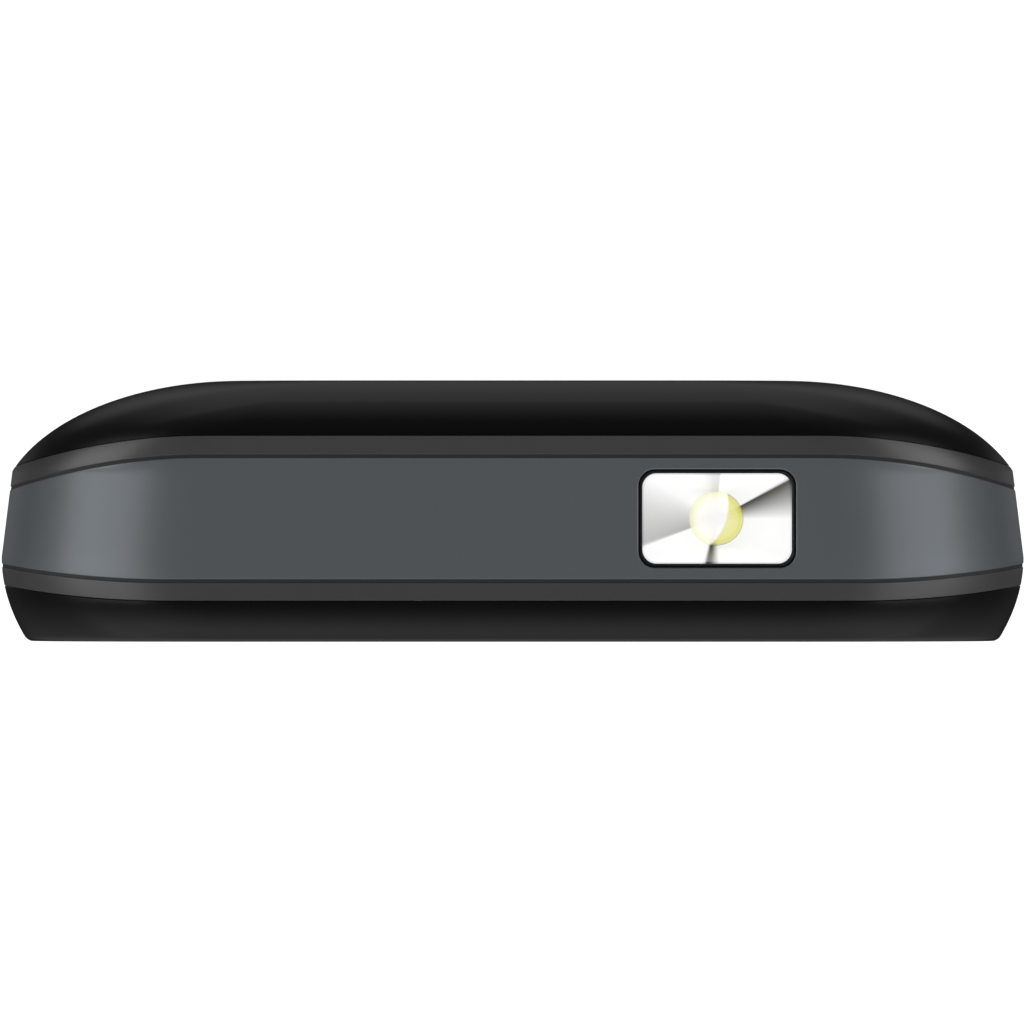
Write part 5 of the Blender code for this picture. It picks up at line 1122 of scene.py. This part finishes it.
for name, (x, z, _, _) in KEYS.items():
    look = PRINT
    if name in HANDSETS:
        turn, look = HANDSETS[name]
        marks = [plate(*handset((x, z), turn))]
    elif name in SIGNS:
        sign, size, drop = SIGNS[name]
        marks = [lettering(sign, size, (x, z - drop))]
    elif name in LETTERS:
        spot = (x + LETTERS_RIGHT, z - LETTERS_DOWN)
        marks = [lettering(name, DIGIT_SIZE, (x - DIGIT_LEFT, z), heavy=DIGIT_WEIGHT),
                 lettering(LETTERS[name], LETTER_SIZE, spot, PRINT_FRONT + 0.01 * MM)]
    elif name.isdigit():
        marks = [lettering(name, DIGIT_SIZE, (x, z), heavy=DIGIT_WEIGHT)]
    else:
        marks = [block("mark", mm(1.5, 0.28), 0.2 * MM, (x, z),
                       [(0, PRINT_FRONT), (0, PRINT_BACK)])]
    wear(merged(f"legend_{name}", marks), look, body=KEY_NODES[name])
print("legends on", len(KEYS), "keys")

# %% [markdown]
# ## The navigation ring and the select key
#
# The ring is a satin grey frame with a dished inner edge that guides the thumb to the select key
# in its middle. It is drawn as one closed cross-section that runs round a rounded rectangle.

# %% Navigation
NAV_FLANGE, NAV_ROUND = mm(0.4, 0.45)
ARROW = np.array([[0, 0.45], [-0.55, -0.3], [0.55, -0.3]]) * MM


def nav_rings(profile):
    """Rings at (share, inset, depth): share 0 follows the outer outline, 1 the key's hole."""
    hole = (SELECT_KEY[0] / 2 + KEY_GAP, SELECT_KEY[1] / 2 + KEY_GAP, KEY_CORNER + KEY_GAP)
    outer = (NAV_RING[0] / 2, NAV_RING[1] / 2, NAV_CORNER)
    rings = []
    for share, inset, depth in profile:
        half_x, half_z, corner = (a * (1 - share) + b * share for a, b in zip(outer, hole))
        rings.append(front_ring_at(half_x - inset, half_z - inset, corner - inset, (0, NAV_Z),
                                   depth))
    return rings


profile = [(1, 0, FLANGE_BACK), (0, -NAV_FLANGE, FLANGE_BACK), (0, -NAV_FLANGE, FLANGE_FRONT),
           (0, 0, FLANGE_FRONT)]
profile += [(0, inset, 0.10 * MM + drop) for inset, drop in round_over(NAV_ROUND)[::-1]]
profile += [(0.12 + 0.86 * s, NAV_ROUND * (1 - s), (0.10 + 0.42 * s ** 2) * MM)
            for s in np.linspace(0, 1, 9)[1:]]
profile += [(1, 0, 0.64 * MM)]
NAV_GREY = finish("nav_satin", (0.075, 0.077, 0.080), 0.24, metallic=0.8, grain=12000,
                  depth=0.001 * MM)
nav = solid("thumb_ring", nav_rings(profile), closed=True, sharp_from=SOFT)
wear(nav, NAV_GREY, body="nav_ring", stands_for=["nav_ring"])
middle = key_cap("select_cap", (0, NAV_Z), *SELECT_KEY, KEY_CORNER)
wear(middle, KEY_BLACK, body="select_key", stands_for=["select_key"])
ticks = []
for dx, dz in ((0, 1), (0, -1), (1, 0), (-1, 0)):
    spot = np.array([dx * 5.6, dz * 4.75]) * MM + (0, NAV_Z)
    x, z = (ARROW @ np.array([[dz, -dx], [dx, dz]]) + spot).T
    ticks.append(plate(x, z, 0.12 * MM, 0.5 * MM))
wear(merged("arrows", ticks), PRINT, body="nav_ring")
print("faces of the thumb ring:", len(nav.data.polygons))

# %% [markdown]
# ## The display and the earpiece
#
# The display window is a dark pane over the panel of the display, which lies in a steel frame.
# A second sheet of glass would only darken the picture, so one look carries both the black
# border outside the screen and the faint grid of picture points inside it. The earpiece slot is
# closed by a fine steel mesh.

# %% Display and earpiece
PICTURE_POINT, PANEL_HALF = 0.24 * MM, mm(19.5, 25.25)


def display_glass():
    """Ink outside the screen's half sizes, and inside them a grid of dark picture points."""
    look = finish("display_glass", (0.011, 0.013, 0.015), 0.07, specular=0.35, grain=2500,
                  coat=0.25, coat_roughness=0.03)
    tree = look.node_tree
    x, y, z = place_in(tree, (WINDOW_AT[0], 0, WINDOW_AT[1]))
    lines = [math(tree, "ABSOLUTE", math(tree, "SINE", math(tree, "MULTIPLY", axis,
                                                           pi / PICTURE_POINT)))
             for axis in (x, z)]
    points = colour_ramp(tree, math(tree, "MINIMUM", *lines), [(0.0, 0.0), (0.25, 1.0)])
    picture = mixed(tree, points, (0.009, 0.011, 0.013), (0.016, 0.020, 0.023))
    past = [math(tree, "SUBTRACT", math(tree, "ABSOLUTE", axis), half)
            for axis, half in zip((x, z), SCREEN_HALF)]
    outside = math(tree, "MULTIPLY_ADD", math(tree, "MAXIMUM", *past), 1 / (0.2 * MM), 0.5)
    border = colour_ramp(tree, outside, [(0.0, 0.0), (1.0, 1.0)])
    feed(look, colour=mixed(tree, border, picture, (0.003, 0.003, 0.004)))
    return look


SCREEN = display_glass()
window = block("window_pane", WINDOW_HALF, WINDOW_CORNER, WINDOW_AT,
               in_mm([(0, 0.95), (0, 0.17), (0.03, 0.09), (0.12, 0.05), (0.5, 0.05)]), FINE)
wear(window, SCREEN, stands_for=["display_window"])
screen = block("screen", PANEL_HALF, 0.6 * MM, WINDOW_AT, in_mm([(0, 3.2), (0, 1.8)]))
wear(screen, SCREEN, stands_for=["lcd_panel"])


def dotted(name, base, hole, pitch, radius):
    """Round holes in staggered rows: the distance to the nearest of two square grids, the
    second one half a pitch further both ways, against the hole's radius."""
    look = finish(name, base, 0.3, metallic=1.0, grain=6000)
    tree = look.node_tree
    x, y, z = place_in(tree)
    nearest = []
    for start in (0.0, 0.5):
        turns = [math(tree, "ADD", math(tree, "DIVIDE", axis, pitch), start) for axis in (x, z)]
        cells = [math(tree, "SUBTRACT", math(tree, "FRACT", turn), 0.5) for turn in turns]
        nearest.append(radius_of(tree, *cells))
    reach = math(tree, "MULTIPLY", math(tree, "MINIMUM", *nearest), pitch / radius)
    metal = colour_ramp(tree, math(tree, "MULTIPLY", reach, 0.5), [(0.46, 0.0), (0.54, 1.0)])
    feed(look, colour=mixed(tree, metal, hole, base), height=metal, depth=0.05 * MM)
    return look


MESH = dotted("fine_mesh", (0.32, 0.32, 0.33), (0.004, 0.004, 0.004), 0.22 * MM, 0.062 * MM)
sound = block("sound_mesh", SOUND_HALF, SOUND_HALF[1], SOUND_AT,
              in_mm([(0.2, 0.34), (0.2, 0.30), (0.26, 0.26)]), FINE)
wear(sound, MESH, stands_for=["earpiece_mesh"])
print("display of", len(window.data.polygons) + len(screen.data.polygons), "faces")

# %% [markdown]
# ## Camera and loudspeaker openings in the back
#
# The camera looks out through a small dark window in the cover: a clear disc with a black ring
# printed on it, and a bright ring round it in the cover's recess. Under the disc lies the
# camera module with its stepped black barrel and a curved front lens. The loudspeaker's four
# slots show a fine steel mesh.

# %% Camera and loudspeaker
BEZEL = finish("camera_bezel", (0.55, 0.55, 0.56), 0.22, metallic=1.0, grain=8000,
               depth=0.001 * MM)
bezel = turned("camera_bezel", CAMERA_AT,
               in_mm([(3.02, 0.02), (3.17, 0.02)], DEPTH - RECESS)
               + in_mm([(3.17, -0.15), (3.12, -0.08), (3.06, -0.10), (2.96, -0.26)], DEPTH)
               + in_mm([(2.96, 0.06)], DEPTH - RECESS), closed=True)
wear(bezel, BEZEL, body="battery_cover")

PANE_GLASS = finish("camera_pane", (0.01, 0.01, 0.012), 0.03, grain=3000, smudge=0.02)
set_inputs(shader_of(PANE_GLASS), {"Alpha": 0.45})
disc = turned("camera_disc", CAMERA_AT,
              in_mm([(2.93, -0.70), (2.93, -0.35), (2.85, -0.30), (2.4, -0.30)], DEPTH))
wear(disc, PANE_GLASS, body="battery_cover", stands_for=["camera_window"])
INK = finish("border_ink", (0.003, 0.003, 0.004), 0.2, specular=0.5, grain=2500)
ink_ring = turned("camera_ink", CAMERA_AT,
                  in_mm([(1.45, -0.73), (2.9, -0.73), (2.9, -0.71), (1.45, -0.71)], DEPTH),
                  closed=True)
wear(ink_ring, INK, body="battery_cover")

MODULE_FRONT, MODULE_SHOULDER, MODULE_TOP = mm(5.3, 8.6, 10.2)
base = block("camera_base", mm(4.0, 4.0), 0.5 * MM, CAMERA_AT,
             [(0, MODULE_FRONT)] + in_mm([(0, -0.15), (0.15, 0)], MODULE_SHOULDER))
barrel = turned("barrel", CAMERA_AT,
                in_mm([(1.0, -0.5), (3.1, -0.5)], MODULE_SHOULDER)
                + in_mm([(3.1, -0.12), (2.98, 0), (2.0, 0), (1.9, -0.1), (1.75, -0.3),
                         (1.75, -0.45), (1.4, -0.55), (1.4, -0.7), (1.0, -0.8)], MODULE_TOP),
                closed=True)
camera_body = joined("camera_barrel", [base, barrel])
wear(camera_body, PLASTIC, stands_for=["camera_module"])
LENS = finish("coated_lens", (0.012, 0.006, 0.020), 0.04, specular=0.9, grain=2000, coat=1.0,
              coat_roughness=0.02)
curve = [(1.37 * r, -0.86 + 0.42 * np.sqrt(1 - 0.98 * r * r)) for r in np.linspace(1, 0.12, 9)]
lens = turned("front_lens", CAMERA_AT, in_mm([(1.37, -1.0)] + curve, MODULE_TOP))
wear(lens, LENS)

MESH_DEPTH = 11.12 * MM
sound_back = block("speaker_mesh_plate", mm(3.8, 3.9), 0.6 * MM, SPEAKER_AT,
                   in_mm([(0, 0), (0, 0.15), (0.05, 0.2)], MESH_DEPTH))
wear(sound_back, MESH, body="battery_cover", stands_for=["speaker_mesh"])
print("camera parts:", [len(piece.data.polygons) for piece in (bezel, disc, camera_body, lens)])

# %% [markdown]
# ## Screws
#
# Six screws hold the chassis. Their heads are low pans with a six-lobed recess. The lobes come
# from one formula, a radius that swells six times round the circle, so no Boolean is needed: the
# head's rings pass from the round rim to the lobed rim of the recess and down to its floor.

# %% Screws
SCREWS = [(-13.2, 4.0), (13.2, 4.0), (-20.2, 54.5), (20.2, 54.5), (-18.2, 111.0), (18.2, 111.0)]
HEAD_RADIUS, HEAD_BACK, HEAD_FRONT = mm(1.3, 8.0, 7.2)
SHANK_RADIUS, SHANK_END = mm(0.55, 2.8)
around = np.arange(96) / 96 * 2 * pi


def lobed(radius, swell, centre, depth, turn=0.0):
    """radius x (1 + swell x cosine of six times the angle), at a depth."""
    reach = radius * (1 + swell * np.cos(6 * (around - turn)))
    x, z = centre[0] + reach * np.cos(around), centre[1] + reach * np.sin(around)
    return on_face(x, z, depth)


threads = np.arange(SHANK_END + 0.4 * MM, HEAD_FRONT - 0.7 * MM, 0.15 * MM)
rows = [(SHANK_RADIUS * 0.8, 0, SHANK_END), (SHANK_RADIUS, 0, SHANK_END + 0.2 * MM)]
rows += [(SHANK_RADIUS * (0.84 if row % 2 else 1.0), 0, depth)
         for row, depth in enumerate(threads)]
rows += [(SHANK_RADIUS, 0, HEAD_FRONT), (HEAD_RADIUS, 0, HEAD_FRONT)]
rows += [(HEAD_RADIUS * share, swell, HEAD_BACK - drop * MM) for share, swell, drop in
         ((1, 0, 0.25), (0.94, 0, 0.09), (0.82, 0, 0), (0.58, 0, 0), (0.50, 0.15, 0.03),
          (0.47, 0.15, 0.45), (0.1, 0, 0.5))]
for number, (x, z) in enumerate(SCREWS, 1):
    screw = solid(f"lobed_screw_{number}",
                  [lobed(radius, swell, (x * MM, z * MM), depth, 0.4 * number)
                   for radius, swell, depth in rows])
    wear(screw, STEEL, stands_for=[f"screw_{number}"])
print(len(SCREWS), "screws of", len(screw.data.polygons), "faces")

# %% [markdown]
# ## Under the cover: battery, cards, sound and antenna
#
# With the cover off, the battery fills the lower half of the chassis. It is a thin aluminium
# can with round long edges, wrapped in a plain two-tone label, with a black cap and three
# contacts at its top end. The wrap's zones are set by the height on the battery, so the label
# needs no image and no lettering.

# %% Battery
BATTERY_HALF, BATTERY_AT = mm(17.0, 26.6), (0, 41.3 * MM)
BATTERY_DEPTHS, BATTERY_ROUND = mm(6.2, 10.9), 1.1 * MM
rows = [(inset, BATTERY_DEPTHS[0] + drop) for inset, drop in round_over(BATTERY_ROUND)]
rows += [(inset, BATTERY_DEPTHS[1] - drop) for inset, drop in round_over(BATTERY_ROUND)[::-1]]
can = block("battery_can", BATTERY_HALF, 1.2 * MM, BATTERY_AT, rows, FINE, SOFT)


def battery_wrap():
    """From the bottom: a silver foil edge, a dark panel, a pale panel with rows of short bars
    and a black cap, each from a share of the battery's height."""
    look = finish("battery_wrap", (0.3, 0.3, 0.3), 0.38, specular=0.4, grain=7000, smudge=0.08)
    tree = look.node_tree
    x, y, z = place_in(tree, (0, 0, BATTERY_AT[1]))
    up = math(tree, "MULTIPLY_ADD", z, 0.5 / BATTERY_HALF[1], 0.5)
    body = colour_ramp(tree, up, [(0.0, 0.50), (0.03, (0.10, 0.11, 0.13)),
                                  (0.34, (0.42, 0.43, 0.45)), (0.93, 0.015)], "CONSTANT")
    rows = math(tree, "FRACT", math(tree, "DIVIDE", z, 2.4 * MM))
    bars = colour_ramp(tree, rows, [(0.0, 0.0), (0.70, 0.0), (0.72, 1.0), (0.88, 1.0), (0.90, 0.0)])
    column = colour_ramp(tree, math(tree, "DIVIDE", math(tree, "ABSOLUTE", x), BATTERY_HALF[0]),
                         [(0.0, 1.0), (0.78, 1.0), (0.79, 0.0)])
    panel = colour_ramp(tree, up, [(0.0, 0.0), (0.40, 1.0), (0.62, 0.0)], "CONSTANT")
    printed = math(tree, "MULTIPLY", math(tree, "MULTIPLY", bars, column), panel)
    feed(look, colour=mixed(tree, printed, body, (0.16, 0.17, 0.19)))
    return look


wear(can, battery_wrap(), body="battery", stands_for=["battery"])
pads = [end_block("pad", mm(0.9, 1.1), 0.15 * MM, (x, 7.6 * MM),
                  in_mm([(0, 67.6), (0, 67.90), (0.05, 67.94)])) for x in mm(-2.6, 0, 2.6)]
wear(joined("battery_contacts", pads), GOLD, body="battery")
print("battery can:", len(can.data.polygons), "faces, three contacts")

# %% [markdown]
# The card sockets are stamped steel cages with windows over gold springs, and the memory card
# lies under a hinged gate with two windows. They are slabs with a round edge and real openings,
# because at this size a texture alone would look painted. Only the shield's many small holes
# are a pattern.

# %% Cards and shield


def slab(name, half, centre, depths, corner=0.4 * MM, edge=0.12 * MM):
    """A pressed part that lies on the board: flat sides and a round edge at the back."""
    front, back = depths
    return block(name, half, corner, centre,
                 [(0, front)] + [(inset, back - drop) for inset, drop in round_over(edge)[::-1]])


def windows(spots, half, depths, corner=0.2 * MM):
    """Cutters of one size, one at each spot, from one depth to another."""
    return [block("cutter", half, corner, spot, [(0, depth) for depth in depths])
            for spot in spots]


def grid_of(centre, columns, rows, pitch_x, pitch_z):
    """Places round a centre: (number - (count - 1) / 2) x pitch, both ways."""
    return [(centre[0] + (column - (columns - 1) / 2) * pitch_x,
             centre[1] + (row - (rows - 1) / 2) * pitch_z)
            for row in range(rows) for column in range(columns)]


def gold(name, half, corner, spots, profile):
    """Gold springs or pins, one at each spot, as one piece."""
    pieces = [block("contact", half, corner, spot, profile) for spot in spots]
    wear(joined(name, pieces), GOLD)


SIM_HALF, SIM_DEPTHS = mm(7.7, 6.7), mm(5.3, 7.0)
SPRING = in_mm([(0, 6.45), (0, 6.75), (0.1, 6.82)])
for number, x in enumerate(mm(-8.9, 8.9), 1):
    centre = (x, 79.0 * MM)
    cage = slab(f"sim_cage_{number}", SIM_HALF, centre, SIM_DEPTHS)
    spots = grid_of(centre, 2, 3, 7.0 * MM, 3.0 * MM)
    carve(cage, windows(spots, mm(1.9, 0.95), mm(6.5, 8.0)))
    wear(cage, STEEL, stands_for=[f"sim_socket_{number}"])
    gold(f"sim_springs_{number}", mm(1.3, 0.4), 0.12 * MM, spots, SPRING)

CARD_HALF, CARD_Z = mm(7.5, 4.3), 91.5 * MM
tray = slab("memory_tray", CARD_HALF, (-8.9 * MM, CARD_Z), mm(5.3, 6.3))
pins = grid_of((-8.9 * MM, CARD_Z + 1.6 * MM), 8, 1, 1.1 * MM, MM)
carve(tray, windows(pins, mm(0.32, 1.3), mm(6.0, 7.0), 0.1 * MM))
wear(tray, PLASTIC, stands_for=["memory_card_socket"])
gold("memory_pins", mm(0.2, 1.1), 0.05 * MM, pins, in_mm([(0, 5.95), (0, 6.2)]))

GATE_AT, GATE_HALF = mm(-8.9, 91.6), mm(7.5, 3.9)
gate = slab("memory_gate", GATE_HALF, GATE_AT, mm(6.5, 6.8), 0.5 * MM, 0.08 * MM)
spots = grid_of((GATE_AT[0], GATE_AT[1] + 0.8 * MM), 2, 1, 6.2 * MM, MM)
carve(gate, windows(spots, mm(1.9, 1.5), mm(6.0, 7.5), 0.5 * MM))
wear(gate, STEEL, body="memory_card_gate", stands_for=["memory_card_gate"])

PIERCED = dotted("pierced_can", (0.60, 0.60, 0.59), (0.01, 0.01, 0.01), 1.25 * MM, 0.30 * MM)
shield = slab("pierced_shield", CARD_HALF, (8.9 * MM, CARD_Z), mm(5.3, 6.6), 0.5 * MM,
              0.25 * MM)
wear(shield, PIERCED, stands_for=["shield_can"])
print("cards:", [len(piece.data.polygons) for piece in (cage, tray, gate, shield)])

# %% [markdown]
# The loudspeaker is a shallow basket with a corrugated membrane: a rounded slab with a turned
# piece in its face. The turned piece follows the section of a real membrane, a flat rim, a
# half-round surround and a dome in the middle. The vibration motor beside it is a small can
# turned about an axis along x.

# %% Sound makers
MEMBRANE = finish("membrane_film", (0.02, 0.02, 0.022), 0.32, specular=0.6, grain=9000)
CONE_RADIUS, MOTOR_AT = 4.55 * MM, mm(7.2, 100.0)


def membrane(radius, rest):
    """From the rim to the middle: a half-round surround, then a low dome."""
    share = np.linspace(1, 0.03, 40)
    surround = np.sin(np.clip((share - 0.62) / 0.34, 0, 1) * pi) * 0.12
    centre = np.where(share < 0.58, 0.16 * (1 - (share / 0.58) ** 2), 0)
    return [(radius * s, rest + radius * (rise + hill)) for s, rise, hill in
            zip(share, surround, centre)]


def along_x(name, profile, centre):
    """A turned piece with its axis along x: (x, radius) pairs round a depth and a height."""
    angle = np.arange(48) / 48 * 2 * pi
    return solid(name, [np.stack([0 * angle + x, centre[0] - HALF_DEPTH + r * np.cos(angle),
                                  centre[1] + r * np.sin(angle)], axis=-1) for x, r in profile])


basket = slab("speaker_basket", mm(5.5, 7.0), SPEAKER_AT, mm(5.3, 9.4), 1.2 * MM, 0.3 * MM)
carve(basket, [turned("cutter", SPEAKER_AT, in_mm([(4.6, 8.6), (4.6, 10.4)]))])
wear(basket, STEEL, stands_for=["loudspeaker"])
cone = turned("speaker_membrane", SPEAKER_AT,
              [(CONE_RADIUS, 8.5 * MM)] + membrane(CONE_RADIUS, 8.75 * MM))
wear(cone, MEMBRANE)

motor = along_x("motor_can", in_mm([
    (5.8, 0.9), (5.85, 1.6), (6.0, 1.82), (6.25, 1.9), (11.8, 1.9), (11.85, 1.8), (12.0, 1.8),
    (12.05, 1.9), (12.95, 1.9), (13.15, 1.8), (13.2, 0.9), (13.25, 0.32), (16.2, 0.32)]), MOTOR_AT)
wear(motor, STEEL, stands_for=["vibration_motor"])
print("sound and motor:", [len(piece.data.polygons) for piece in (basket, cone, motor)])

# %% [markdown]
# ## Finishes of the parts that keep their CAD shape
#
# The chassis, the board, the keypad's sheets, the connectors and the antenna have their true
# shape already, so only their material slots change. The board gets tracks and pads from a
# pattern of cells; the others differ in tone, gloss and grain.

# %% Finishes on CAD nodes


def board_lacquer():
    """Green lacquer over copper: tracks along the borders of square cells, pads at random."""
    look = finish("green_lacquer", (0.02, 0.08, 0.04), 0.3, specular=0.5, grain=6000)
    tree = look.node_tree
    cells, at = tree.nodes.new("ShaderNodeTexVoronoi"), tree.nodes.new("ShaderNodeTexCoord")
    cells.distance, cells.feature = "CHEBYCHEV", "F1"
    set_inputs(cells, {"Scale": 900, "Randomness": 0.6})
    tree.links.new(at.outputs["Object"], cells.inputs["Vector"])
    track = colour_ramp(tree, cells.outputs["Distance"], [(0.40, 0.0), (0.46, 1.0)])
    pad = colour_ramp(tree, cells.outputs["Distance"], [(0.06, 1.0), (0.10, 0.0)])
    lacquer = mixed(tree, track, (0.012, 0.060, 0.028), (0.030, 0.115, 0.055))
    feed(look, colour=mixed(tree, pad, lacquer, (0.60, 0.44, 0.20)),
         height=track, depth=0.01 * MM)
    return look


AMBER = finish("amber_film", (0.42, 0.17, 0.03), 0.25, specular=0.6, grain=8000, depth=0.001 * MM,
               tone=0.12)
MAT = finish("silicone_mat", (0.24, 0.24, 0.245), 0.6, specular=0.3, grain=9000,
             depth=0.004 * MM)
TUNGSTEN = finish("sintered_weight", (0.32, 0.32, 0.31), 0.45, metallic=1.0, grain=11000,
                  depth=0.006 * MM, tone=0.2)
CHASSIS = finish("chassis_moulding", (0.020, 0.020, 0.021), 0.48, specular=0.4, grain=16000,
                 depth=0.010 * MM, tone=0.15, smudge=0.12)
GOLD_FILM = finish("plated_antenna", (0.78, 0.56, 0.26), 0.3, metallic=1.0, grain=3500,
                   depth=0.002 * MM, tone=0.14, smudge=0.15)
KEEP = {"rear_chassis": CHASSIS, "main_board": board_lacquer(), "dome_sheet": AMBER,
        "keypad_mat": MAT, "vibration_weight": TUNGSTEN, "antenna": GOLD_FILM,
        "battery_connector": GOLD, "usb_socket": STEEL, "audio_jack": PLASTIC,
        "microphone": GOLD, "lcd_frame": STEEL, "earpiece": STEEL}
for node, look in KEEP.items():
    for slot in bpy.data.objects[node].material_slots:
        slot.material = look
print(len(KEEP), "nodes keep their CAD shape")
